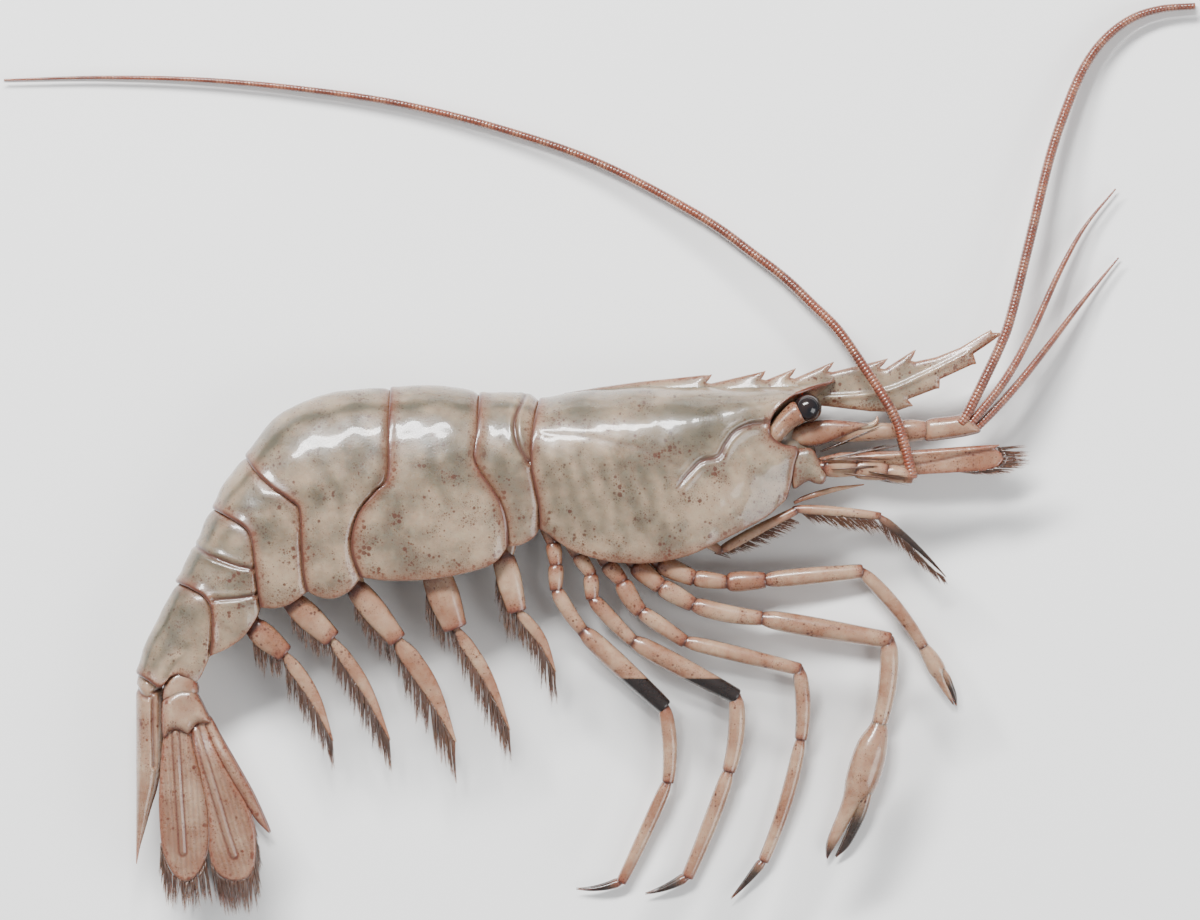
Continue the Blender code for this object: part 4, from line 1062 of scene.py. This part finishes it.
def whip(path, level, radii):
    """A feeler's whip: rings with a fine groove after each, banded pale and dark."""
    line = smooth(path)
    length = np.linalg.norm(np.diff(line(np.linspace(0, 1, 200)), axis=0), axis=1).sum()
    count = int(length / WHIP_RING)
    share = (np.arange(count)[:, None] + np.array([0.0, 0.25, 0.75, 0.9])).ravel() / count
    grooved = np.tile([0.55, 0.0, 0.0, 1.0], count)
    radius = through(radii)(share) * (1 - 0.09 * grooved) * rise(share, -0.004, 0.002)
    centre = np.column_stack([line(share), level(share)])
    grid = ring_of(centre, tangents(centre), radius, radius, 12)
    band = rise(np.sin(share * length * 2 * math.pi / 3.4 + 1.5 * np.sin(share * 25)), 0.1, 0.8)
    # The margin and fold marks darken the groove after each ring: painted shade in the groove.
    marks = np.stack([0.5 * grooved, 0.55 * band * (1 - grooved), 0.6 * grooved], -1)
    return lofted(grid, np.repeat(marks[:, None], 12, 1))


for word, side in SIDES.items():
    height = MIDPLANE + side * FEELERS_APART

    def beside(flat, height=height, side=side):
        return np.full(len(flat), height + side * 0.55)

    shells = [plump(FIRST_ARTICLE, 1.3, beside)]
    shells.append(tube(HOOK, lambda share: height + side * 0.6, sides=14, rows=30))
    for start, end, depth in STALK_ARTICLES:
        shells.append(article(start, end, depth, lambda share: height + 0 * share, flatten=0.75))
    shells.append(plump(LAST_ARTICLE, 1.9, lambda flat: np.full(len(flat), height)))
    stalk = new_piece(f"first_feeler_stalk_{word}", shells, limb_finish)
    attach(stalk, "root")
    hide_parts(f"antennule_{word}")
    for size, (path, apart, tips, radii) in WHIPS.items():
        top, tip = MIDPLANE + side * apart, tips[side]

        def drooping(share, top=top, tip=tip):
            return tip + (top - tip) * (1 + np.cos(math.pi * share)) / 2

        feeler = new_piece(f"first_feeler_{word}_{size}", [whip(path, drooping, radii)], whip_finish)
        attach(feeler, "root")
        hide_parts(f"antennule_{word}_{size}_whip")

# --- Second feelers -----------------------------------------------------------------------------------
# Each has a cheek plate against the shield, a stout stalk, a stiff flat scale with a bristly end, and one
# very long whip. The right whip sweeps back over the rostrum, the left one lies on the board below it.

STOUT_APART, SCALE_APART = 3.3, 2.1
CHEEK = [
    (19.9, 1.2), (21.2, 1.1), (21.9, -0.1), (22.65, -1.4), (22.3, -2.35), (21.5, -2.35), (20.8, -2.1),
    (20.0, -2.55), (19.35, -2.85), (19.15, -1.8), (19.15, -0.6), (19.4, 0.6),
]
STOUT_ARTICLES = [
    ((22.3, -0.7), (25.6, -0.8), 2.0), ((25.4, -0.8), (28.6, -1.2), 2.1), ((28.5, -1.2), (31.1, -1.7), 1.7),
]
SCALE = [
    (21.8, 0.2), (24.0, 0.75), (28.0, 0.85), (31.0, 0.95), (35.0, 1.25), (38.6, 1.5),
    (40.0, 1.55), (39.5, 1.15), (40.15, 0.65), (40.35, 0.0), (39.8, -0.65), (38.5, -1.1),
    (35.0, -1.3), (31.5, -1.5), (27.0, -1.5), (22.6, -0.9),
]
SCALE_RIB = [(22.5, 0.1), (28.0, 0.35), (34.0, 0.8), (39.5, 1.35)]
SCALE_CREASE = [(24.0, -0.7), (31.4, -0.4), (36.0, 0.45), (39.5, 1.1)]
SWEEP = [
    (31.25, -1.9), (30.4, 1.5), (29.5, 4.2), (28.0, 6.8), (26.4, 9.25), (23.8, 13.0), (21.3, 15.5),
    (18.7, 18.0), (15.5, 20.5), (10.0, 24.4), (0.0, 29.7), (-10.0, 33.2), (-20.0, 35.7),
    (-30.0, 37.2), (-40.0, 38.1), (-50.0, 38.35), (-59.8, 38.1),
]
SWEEP_RADII = (0.55, 0.5, 0.48, 0.45, 0.41, 0.36, 0.3, 0.22, 0.1)
# Levels of the whips, evenly spaced from root to tip.
SWEEP_LEVELS = {
    1: (9.05, 8.9, 7.7, 5.9, 4.2, 2.9, 2.1, 1.7, 1.5, 1.35, 1.2, 1.05, 0.9),
    -1: (2.45, 1.9, 1.1, 0.7, 0.58, 0.54, 0.5, 0.46, 0.42, 0.36, 0.3, 0.24, 0.16),
}


def scale(level):
    """A stiff plate with a rib along its outer edge, which ends in a spine, and a crease beside it."""
    rib = smooth(SCALE_RIB)(np.linspace(0, 1, 40))
    crease = smooth(SCALE_CREASE)(np.linspace(0, 1, 30))

    def half_thickness(flat, from_edge):
        rib_height = 0.22 * bell(distance_to(rib, flat), 0.26) - 0.1 * bell(distance_to(crease, flat), 0.16)
        return rounded(from_edge, 0.35, 0.5) + rib_height * rise(from_edge, 0.0, 0.3)

    def marks(flat, from_edge):
        # Painted shade in the crease, by the fold mark.
        creased = 0.8 * bell(distance_to(crease, flat), 0.16)
        return np.stack([bell(from_edge, 0.35), 0 * from_edge, creased], -1)

    return leaf(SCALE, half_thickness, level, marks, step=0.2)


for word, side in SIDES.items():
    height = MIDPLANE + side * STOUT_APART
    scale_height = MIDPLANE + side * SCALE_APART
    sweep_level = through(SWEEP_LEVELS[side])
    stout = [article(start, end, depth, lambda share: height + 0 * share, flatten=0.75)
             for start, end, depth in STOUT_ARTICLES]
    parts = {
        "cheek": (plump(CHEEK, 1.3, lambda flat: np.full(len(flat), height)), shell_finish, "shell"),
        "scale": (scale(lambda flat: np.full(len(flat), scale_height)), limb_finish, "limb"),
        "whip": (whip(SWEEP, sweep_level, SWEEP_RADII), whip_finish, "feeler"),
    }
    stalk = new_piece(f"second_feeler_{word}_stalk", stout, limb_finish)
    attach(stalk, "root")
    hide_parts(f"antenna_{word}_stalk")
    for part, (shell, finish, slot) in parts.items():
        made = new_piece(f"second_feeler_{word}_{part}", [shell], finish)
        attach(made, "root")
        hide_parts(f"antenna_{word}_{part}")

# --- Mouth limbs --------------------------------------------------------------------------------------
# The hindmost mouth limbs fold forward below the shield like a pair of short legs, bristly underneath. A
# slender palp reaches out above each.

MOUTH_APART, MOUTH_SAG, PALP_APART = 2.2, 0.4, 1.8
MOUTH_ARTICLES = [
    ((9.6, -7.6), (12.1, -9.1), 1.0, 0.0), ((12.0, -9.1), (19.5, -5.1), 1.05, 0.1),
    ((19.5, -4.9), (27.9, -5.6), 1.0, 0.15), ((27.8, -5.6), (34.6, -11.7), 0.95, 0.35),
]
PALP = [(19.4, -4.3, 0.14), (20.6, -3.75, 0.26), (23.4, -2.95, 0.27), (26.4, -2.45, 0.05)]

for word, side in SIDES.items():
    height = MIDPLANE + side * MOUTH_APART - MOUTH_SAG
    shells = []
    for k, (start, end, depth, bow) in enumerate(MOUTH_ARTICLES):
        last = k + 1 == len(MOUTH_ARTICLES)
        straight = lambda share, height=height: height + 0 * share
        shells.append(article(start, end, depth, straight, bow, pointed=last, flatten=0.95))
    limb = new_piece(f"mouth_limb_{word}", shells, limb_finish)
    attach(limb, "root")
    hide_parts(f"maxilliped_{word}")
    palp = tube(PALP, lambda share, side=side: MIDPLANE + side * PALP_APART, sides=12, rows=50)
    palp = new_piece(f"mouth_palp_{word}", [palp], limb_finish)
    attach(palp, "root")
    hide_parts(f"palp_{word}")

# --- Walking legs -------------------------------------------------------------------------------------
# Five pairs of slender legs, each a row of stiff articles in one fixed piece; on the shrimp they hinge on
# one another. The first two pairs end in small claws, the others in curved points, and the hindmost two
# carry a dark band before the knee.

LEG_SPREAD = through((2.2, 2.9, 3.2, 3.1, 2.9))  # distance from the plane of symmetry, root to tip
LEG_SAG = 2.0  # how far the tips hang down
# Where each leg leaves the shell, then the far end, depth and bow of every article.
WALKING_LEGS = {
    1: [
        (5.8, -10.3), ((9.3, -11.8), 2.0, 0.0), ((12.6, -12.2), 1.7, 0.0), ((16.4, -12.0), 2.0, 0.0),
        ((26.1, -11.1), 1.7, 0.0), ((32.3, -18.6), 1.4, 0.5),
    ],
    2: [
        (3.4, -10.4), ((6.0, -12.6), 2.0, 0.0), ((9.2, -14.4), 1.9, 0.0), ((16.1, -15.8), 1.8, -0.3),
        ((28.9, -18.0), 2.0, 0.0), ((27.9, -26.5), 1.8, 0.5),
    ],
    3: [
        (0.6, -10.3), ((2.2, -12.1), 1.7, 0.0), ((4.0, -15.1), 1.9, -0.2), ((8.4, -18.1), 1.6, 0.0),
        ((19.9, -20.9), 1.55, 0.0), ((20.1, -27.8), 1.5, 0.4), ((16.4, -40.0), 1.3, 0.5),
        ((13.1, -43.9), 1.0, 0.1),
    ],
    4: [
        (-2.3, -9.4), ((-0.9, -11.4), 1.5, 0.0), ((-0.8, -13.8), 1.55, 0.0), ((3.3, -18.1), 1.55, -0.1),
        ((13.6, -23.6), 1.95, 0.0), ((12.9, -31.0), 1.65, 0.5), ((8.8, -41.6), 1.5, 0.2),
        ((4.5, -43.4), 1.05, 0.3),
    ],
    5: [
        (-4.7, -8.2), ((-4.4, -10.4), 1.55, 0.0), ((-4.4, -12.9), 1.55, 0.0), ((-1.7, -17.1), 1.5, -0.2),
        ((6.4, -24.6), 2.0, 0.0), ((6.8, -32.1), 1.5, 0.5), ((2.2, -42.1), 1.3, 0.1),
        ((-2.4, -42.9), 0.95, 0.4),
    ],
}
# Claws: the palm and fixed finger in one, then the moving finger, as (x, y, half depth).
CLAWS = {
    1: (
        [
            (32.1, -18.3, 0.4), (32.5, -18.9, 0.6), (33.15, -19.9, 0.8), (33.75, -21.0, 0.84),
            (34.2, -22.1, 0.5), (34.75, -23.2, 0.34), (35.35, -24.45, 0.05),
        ],
        [
            (34.1, -20.9, 0.3), (34.65, -21.7, 0.36), (35.05, -22.6, 0.32),
            (35.4, -23.5, 0.25), (35.65, -24.55, 0.05),
        ],
    ),
    2: (
        [
            (28.0, -26.2, 0.7), (27.75, -27.3, 1.1), (27.2, -28.8, 1.52), (26.6, -30.8, 1.66),
            (25.95, -32.7, 1.5), (25.2, -34.2, 0.98), (24.5, -35.6, 0.72), (23.75, -37.1, 0.6),
            (23.05, -38.6, 0.42), (22.7, -39.85, 0.06),
        ],
        [
            (26.9, -32.2, 0.4), (26.55, -33.7, 0.55), (26.05, -35.3, 0.56),
            (25.3, -37.0, 0.5), (24.5, -38.5, 0.38), (23.6, -39.7, 0.06),
        ],
    ),
}
DARK_BANDS = {4: -21.8, 5: -21.8}  # the level along Y where the dark band before the knee starts


def leg_shells(number, side):
    """The articles of one leg, root first, and its claw."""
    leaves, *articles = WALKING_LEGS[number]
    middle = patches[0](np.linspace(0, 1, 61), BELLY)
    belly_point = middle[np.argmin(np.abs(middle[:, 0] - leaves[0] + 1.0))]
    joints = [belly_point - [0.0, 0.7], leaves, *[end for end, _, _ in articles]]
    if number in CLAWS:
        joints.append(CLAWS[number][0][-1][:2])
    run = np.concatenate([[0], np.cumsum(np.linalg.norm(np.diff(np.array(joints), axis=0), axis=1))])
    run /= run[-1]

    def level_between(k):
        """The level along the article from joint k to the next, by its share."""
        def level(share):
            t = run[k] + (run[k + 1] - run[k]) * share
            return MIDPLANE + side * LEG_SPREAD(t) - LEG_SAG * t**2
        return level

    def band(grid):
        start = DARK_BANDS[number]
        return 1.4 * (1 - rise(grid[..., 1], start - 0.12, start + 0.12))

    shells = [article(joints[0], joints[1], 1.5, level_between(0), root=0.7, tip=0.9)]
    for k, (end, depth, bow) in enumerate(articles, 1):
        pointed = k == len(articles) and number not in CLAWS
        dark = band if k == 4 and number in DARK_BANDS else None
        shells.append(article(joints[k], end, depth, level_between(k), bow, pointed=pointed, band=dark))
    for finger, dark in zip(CLAWS.get(number, ()), ((0.82, 0.97), (0.05, 0.55))):
        end_level = level_between(len(run) - 2)
        shells.append(tube(finger, end_level, flatten=0.85, rows=90, dark=dark))
    return shells


for word, side in SIDES.items():
    for number in WALKING_LEGS:
        leg = new_piece(f"walking_leg_{number}_{word}", leg_shells(number, side), limb_finish)
        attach(leg, "root")
        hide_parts(f"leg_{number}_{word}")

# --- Swimming legs ------------------------------------------------------------------------------------
# One pair under each of the first five rings: a broad flat upper part, and below the knee two thin blades.
# Long bristles on their hind edges turn them into paddles.

SWIM_SPREAD = 0.4  # a swimming leg's distance from the plane of symmetry over its ring's half width
SWIM_SAG, SWIM_DROP = 1.4, 16.0  # how far it hangs down, and over what length
# x of the root, hip, knee and tip, depth of the upper part and of the blade.
SWIMMING_LEGS = {
    1: (-8.8, (-9.7, -9.6), (-8.3, -15.0), (-4.4, -21.2), 2.5, 1.15),
    2: (-16.4, (-16.5, -11.2), (-14.5, -16.7), (-9.0, -27.0), 3.2, 1.3),
    3: (-25.0, (-24.4, -12.8), (-20.3, -17.9), (-14.4, -28.2), 2.5, 1.9),
    4: (-31.2, (-30.7, -14.2), (-26.9, -17.8), (-21.0, -28.0), 2.6, 1.3),
    5: (-35.0, (-34.6, -16.7), (-31.6, -19.3), (-26.7, -28.1), 2.5, 1.35),
}


def swimming_shells(number, side):
    root_x, hip, knee, tip, depth, blade_depth = SWIMMING_LEGS[number]
    hip, knee, tip = np.array(hip), np.array(knee), np.array(tip)
    belly_line = patches[number](np.linspace(0, 1, 61), BELLY)
    root = belly_line[np.argmin(np.abs(belly_line[:, 0] - root_x))] - [0.0, 0.7]
    height = MIDPLANE + side * SWIM_SPREAD * BODY[number][2][0]

    def level_from(start, end):
        def level(share):
            y = start[1] + (end[1] - start[1]) * share
            return height - SWIM_SAG * np.clip((hip[1] - y) / SWIM_DROP, 0, 1)
        return level

    below_hip = hip * 0.85 + knee * 0.15
    shells = [article(root, below_hip, 1.4, level_from(root, hip), root=0.7, tip=0.8, flatten=0.5)]
    shells.append(article(hip, knee, depth, level_from(hip, knee), root=0.8, tip=0.8, flatten=0.5))
    direction = (tip - knee) / np.linalg.norm(tip - knee)
    bow = np.array([-direction[1], direction[0]])
    for shift, length, full in ((0.0, 1.0, 1.0), (-0.35, 0.62, 0.9)):
        end = knee + (tip - knee) * length + bow * shift * 1.2
        line = smooth([knee + bow * shift * 0.3, (knee + end) / 2 + bow * 0.5, end])(np.linspace(0, 1, 60))
        share = np.linspace(0, 1, 60)
        taper = 1 - 0.95 * np.clip((share - 0.35) / 0.65, 0, 1) ** 1.4
        width = blade_depth / 2 * full * rise(share, -0.15, 0.2) * taper
        level = level_from(knee, tip)(share) + side * 0.5 * shift
        centre = np.column_stack([line, level])
        grid = ring_of(centre, tangents(centre), width, 0.09 + 0.22 * width, 20)
        marks = np.zeros(grid.shape)
        marks[..., 0] = 0.5 * np.abs(np.cos(np.linspace(0, 2 * math.pi, 20, endpoint=False))) ** 4
        shells.append(lofted(grid, marks))
    return shells


for word, side in SIDES.items():
    for number in SWIMMING_LEGS:
        leg = new_piece(f"swimming_leg_{number}_{word}", swimming_shells(number, side), limb_finish)
        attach(leg, "root")
        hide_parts(f"swimmeret_{number}_{word}")

# --- Bristles -----------------------------------------------------------------------------------------
# Fringes of fine, stiff bristles on the edges of the tail blades, the swimming legs, the scales and the
# mouth limbs. They grow out of the shell in rows, and wet ones cling together in pointed tufts.

bristle_finish = chitin(
    "bristle",
    pale=(0.12, 0.052, 0.028),
    deep=(0.062, 0.028, 0.017),
    freckle=(0.035, 0.014, 0.010),
    margin=(0.03, 0.014, 0.010),
    beneath=(0.035, 0.016, 0.010),
    freckled=0.3,
    spots=3.0,
    gloss=(0.3, 0.45),
    scatter=0.2,
    grain=0.004,
)


def tufts(edge, lengths, leans, level, seed, gap=0.55, hairs=9, thickness=0.1):
    """Wet tufts of bristles that hang from an edge: the lines down their middles, and their radii.

    lengths and leans, as (x, y), go evenly from the edge's start to its end. gap is the way from one
    tuft to the next, and hairs the number in each.
    """
    draw = np.random.default_rng(seed)
    line = smooth(edge)
    run = np.linalg.norm(np.diff(line(np.linspace(0, 1, 80)), axis=0), axis=1).sum()
    count = max(3, round(run / gap))
    middle = (np.arange(count) + 0.5 + draw.uniform(-0.3, 0.3, count)) / count
    length = through(lengths)(middle) * draw.uniform(0.8, 1.08, count)
    way = np.stack([through(part)(middle) for part in zip(*leans)], -1)
    way += draw.normal(0, 0.05, way.shape)
    way /= np.linalg.norm(way, axis=1, keepdims=True)
    along = np.clip(middle[:, None] + draw.uniform(-0.6, 0.6, (count, hairs)) / count, 0, 1)
    root = line(along)
    reach = length[:, None, None] * (1 - 0.35 * draw.random((count, hairs, 1)) ** 2)
    tip = line(middle)[:, None] + way[:, None] * reach + draw.normal(0, 0.07, root.shape)
    bend = root + way[:, None] * reach * 0.55
    t = np.linspace(0, 1, 6)[:, None]
    flat = (1 - t) ** 2 * root[:, :, None] + 2 * t * (1 - t) * bend[:, :, None] + t**2 * tip[:, :, None]
    flat = flat.reshape(-1, 6, 2)
    height = level(flat.reshape(-1, 2)).reshape(-1, 6)
    start, end = draw.uniform(-0.14, 0.14, (2, len(flat), 1))
    height = height + start * (1 - t[:, 0]) + (0.6 * end - 0.06 * reach.reshape(-1, 1)) * t[:, 0]
    radius = thickness / 2 * draw.uniform(0.75, 1.15, (len(flat), 1)) * (1 - 0.9 * t[:, 0] ** 1.3)
    return np.concatenate([flat, height[..., None]], -1), radius


def bristles(fringes):
    """A shell of three-sided, tapered bristles from their middle lines and radii."""
    lines = np.concatenate([line for line, _ in fringes])
    radii = np.concatenate([radius for _, radius in fringes])
    forward = lines[:, -1] - lines[:, 0]
    across = np.cross(forward, [0.0, 0.0, 1.0])
    across /= np.linalg.norm(across, axis=1, keepdims=True)
    up = np.cross(across, forward)
    up /= np.linalg.norm(up, axis=1, keepdims=True)
    turn = np.arange(3) * 2 * math.pi / 3
    ring = across[:, None] * np.cos(turn)[:, None] + up[:, None] * np.sin(turn)[:, None]
    points = lines[:, :, None] + ring[:, None] * radii[..., None, None]
    index = np.arange(points.size // 3).reshape(points.shape[:3])
    here, there = index[:, :-1], index[:, 1:]
    quads = np.stack([here, np.roll(here, -1, 2), np.roll(there, -1, 2), there], -1).reshape(-1, 4)
    caps = np.concatenate([index[:, 0, ::-1], index[:, -1]])
    marks = np.zeros(points.shape)
    marks[..., 0] = 0.8 * np.linspace(0, 1, 6)[:, None]
    return points.reshape(-1, 3), quads.tolist() + caps.tolist(), marks.reshape(-1, 3)


def flat_level(height):
    return lambda flat: np.full(len(flat), height)


DOWN = ((0.0, -1.0), (0.08, -1.0))
# For each edge: its line, the lengths of the bristles and which way they lean.
TAIL_FRINGES = {
    "inner": [
        (
            [(-43.95, -38.2), (-43.6, -39.8), (-42.9, -41.3), (-41.4, -42.0), (-40.2, -41.4), (-39.4, -40.0)],
            (2.8, 3.6, 3.4, 3.2, 3.4, 4.4),
            ((-0.02, -1.0), (0.0, -1.0), (0.16, -1.0)),
        ),
    ],
    "outer": [
        (
            [(-38.9, -40.2), (-38.1, -41.3), (-36.5, -41.9), (-35.1, -41.4), (-34.5, -40.2), (-34.45, -38.4)],
            (3.9, 4.0, 4.0, 4.0, 3.4, 2.6),
            ((0.16, -1.0), (0.1, -1.0), (0.22, -1.0)),
        ),
        ([(-34.5, -38.8), (-34.7, -36.6), (-35.0, -35.2)], (2.4, 1.9, 1.2), ((0.3, -1.0), (0.25, -1.0))),
    ],
}
SCALE_FRINGES = [
    (
        [(39.7, 1.25), (40.1, 0.5), (40.2, -0.1), (39.6, -0.75)],
        (2.7, 2.9, 2.9, 2.4),
        ((1.0, 0.06), (1.0, -0.08)),
    ),
    ([(39.4, -0.85), (37.6, -1.1), (36.0, -1.2)], (2.2, 2.1, 1.6), ((1.0, -0.12), (1.0, -0.1))),
]
MOUTH_FRINGES = [
    ([(11.4, -9.3), (15.2, -7.7), (19.0, -5.75)], (1.5, 1.9, 1.6), ((0.97, -0.3), (0.95, -0.35))),
    ([(19.9, -5.1), (23.8, -5.6), (27.4, -5.9)], (2.0, 2.4, 2.3), ((0.8, -0.6), (0.66, -0.75))),
    (
        [(27.9, -5.9), (30.4, -7.9), (33.0, -10.6), (34.3, -11.6)],
        (2.3, 2.5, 2.2, 1.2),
        ((0.36, -0.93), (0.5, -0.87)),
    ),
]
# The long bristles that fan out over the stalk of each second feeler: start and end of each tuft.
FEELER_STREAKS = [
    ((22.4, 1.0), (28.3, 3.15)), ((22.5, 0.05), (29.6, 1.5)), ((22.5, 0.0), (28.6, 0.4)),
    ((23.4, -0.93), (27.8, -0.8)), ((27.2, -1.2), (31.3, -1.8)), ((24.7, -1.4), (30.8, -2.25)),
]
STREAKS_OVER = 1.0  # how far above the middle of the stalk they lie
# Lengths of the bristles on the upper part and on the blade of each swimming leg.
SWIMMING_FRINGES = {
    1: ((3.0, 3.7, 4.2, 3.0), (2.4, 2.9, 3.6, 4.4, 3.2)),
    2: ((3.4, 4.0, 3.4, 2.4), (3.0, 3.9, 4.1, 4.3, 3.2)),
    3: ((1.6, 2.6, 3.1, 2.4), (2.6, 4.2, 4.6, 4.8, 4.6)),
    4: ((1.6, 2.3, 2.4, 2.0), (3.0, 3.5, 3.9, 4.2, 3.2)),
    5: ((2.3, 2.9, 2.9, 2.2), (3.0, 3.5, 3.7, 3.6, 3.2)),
}


def swimming_fringes(number, side):
    """The two fringes of a swimming leg, on the hind edges of its upper part and of its blade."""
    _, hip, knee, tip, depth, blade_depth = SWIMMING_LEGS[number]
    hip, knee, tip = np.array(hip), np.array(knee), np.array(tip)
    height = MIDPLANE + side * SWIM_SPREAD * BODY[number][2][0]

    def level(flat):
        return height - SWIM_SAG * np.clip((hip[1] - flat[:, 1]) / SWIM_DROP, 0, 1)

    fringes = []
    shapes = (
        (hip, knee, depth * 0.4, (0.15, 0.45, 0.8, 1.08), 0.0),
        (knee, tip, blade_depth * 0.3, (0.08, 0.5, 1.0), 0.5),
    )
    for k, (start, end, inset, shares, bow) in enumerate(shapes):
        way = (end - start) / np.linalg.norm(end - start)
        out = np.array([-way[1], way[0]])
        edge = []
        for share in shares:
            fade = 1 - share**3 * 0.8
            edge.append(start + (end - start) * share + out * (bow * 4 * share * (1 - share) - inset * fade))
        seed = 100 * number + 10 * k + side
        fringes.append(tufts(edge, SWIMMING_FRINGES[number][k], DOWN, level, seed, gap=0.5))
    return fringes


swimming, tail, scales, mouth, streaks = [], [], [], [], []
for side in SIDES.values():
    for number in SWIMMING_LEGS:
        swimming += swimming_fringes(number, side)
    blades = {"inner": hanging(side, 2.2, 1.9), "outer": hanging(side, 3.0, 2.2)}
    for k, (part, level) in enumerate(blades.items()):
        for edge, lengths, leans in TAIL_FRINGES[part]:
            tail.append(tufts(edge, lengths, leans, level, 40 + k + side, gap=0.42))
    for k, (edge, lengths, leans) in enumerate(SCALE_FRINGES):
        level = flat_level(MIDPLANE + side * SCALE_APART)
        scales.append(tufts(edge, lengths, leans, level, 50 + k + side, gap=0.4))
    for k, (edge, lengths, leans) in enumerate(MOUTH_FRINGES):
        level = flat_level(MIDPLANE + side * MOUTH_APART - MOUTH_SAG)
        mouth.append(tufts(edge, lengths, leans, level, 60 + 4 * k + side, gap=0.5, thickness=0.085))
    for k, (start, end) in enumerate(FEELER_STREAKS):
        start, end = np.array(start), np.array(end)
        length = np.linalg.norm(end - start)
        way = (end - start) / length
        edge = [start - way * 0.4, start, start + way * 0.5]
        level = flat_level(MIDPLANE + side * (STOUT_APART + STREAKS_OVER))
        streaks.append(tufts(edge, (length, length), (way, way), level, 80 + 4 * k + side, 0.35, 12, 0.15))
fringed = {"swimming": swimming, "tail": tail, "scale": scales, "mouth": mouth, "feeler": streaks}
for word, fringes in fringed.items():
    made = new_piece(f"{word}_bristles", [bristles(fringes)], bristle_finish)
    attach(made, "root")

# --- Board, light and camera --------------------------------------------------------------------------
# A plain pale board under the animal, soft light from the upper left, and a camera straight above.

FLOOR = 3.0  # half size of the board, in metres
CAMERA_HEIGHT = 2.0  # above the plane of symmetry, in metres
VIEW_WIDTH = 0.12  # in metres

board_mesh = bpy.data.meshes.new("board")
corners = [(-FLOOR, -FLOOR, 0.0), (FLOOR, -FLOOR, 0.0), (FLOOR, FLOOR, 0.0), (-FLOOR, FLOOR, 0.0)]
board_mesh.from_pydata(corners, [], [(0, 1, 2, 3)])
board = bpy.data.objects.new("board", board_mesh)
bpy.context.scene.collection.objects.link(board)
board_finish = bpy.data.materials.new("board")
board_finish.use_nodes = True
tree = board_finish.node_tree
shader = tree.nodes["Principled BSDF"]
place = shader_node(tree, "TexCoord").outputs["Object"]
grain = shader_node(tree, "TexNoise", {"Vector": place, "Scale": 60.0, "Detail": 4.0}).outputs["Fac"]
tree.links.new(blended(tree, grain, (0.86, 0.86, 0.85), (0.90, 0.90, 0.89)), shader.inputs["Base Color"])
shader.inputs["Roughness"].default_value = 0.6
board_mesh.materials.append(board_finish)
board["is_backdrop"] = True


def lamp(name, place, width, height, power):
    """A soft box that faces the middle of the board."""
    light = bpy.data.lights.new(name, "AREA")
    light.shape = "RECTANGLE"
    light.size, light.size_y = width, height
    light.energy = power
    made = bpy.data.objects.new(name, light)
    made.location = place
    made.rotation_euler = (-Vector(place)).to_track_quat("-Z", "Y").to_euler()
    bpy.context.scene.collection.objects.link(made)


lamp("key", (-0.16, 0.38, 0.46), 0.42, 0.09, 10.0)
lamp("fill", (0.45, -0.20, 0.42), 0.35, 0.35, 2.4)

world = bpy.data.worlds.new("room")
world.use_nodes = True
sky = world.node_tree.nodes["Background"]
sky.inputs["Color"].default_value = (0.93, 0.96, 1.0, 1.0)
sky.inputs["Strength"].default_value = 0.55
bpy.context.scene.world = world

lens = bpy.data.cameras.new("camera")
lens.sensor_width = 36.0
lens.lens = lens.sensor_width * CAMERA_HEIGHT / VIEW_WIDTH
lens.clip_end = 20.0
camera = bpy.data.objects.new("camera", lens)
camera.location = (0.0, 0.0, CAMERA_HEIGHT + MIDPLANE * MM)
bpy.context.scene.collection.objects.link(camera)
bpy.context.scene.camera = camera

# The frame's box and the finished model's, for comparison.
boxes = {"cad": cad_box, "visual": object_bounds()}
{key: [list(corner) for corner in box] for key, box in boxes.items()}
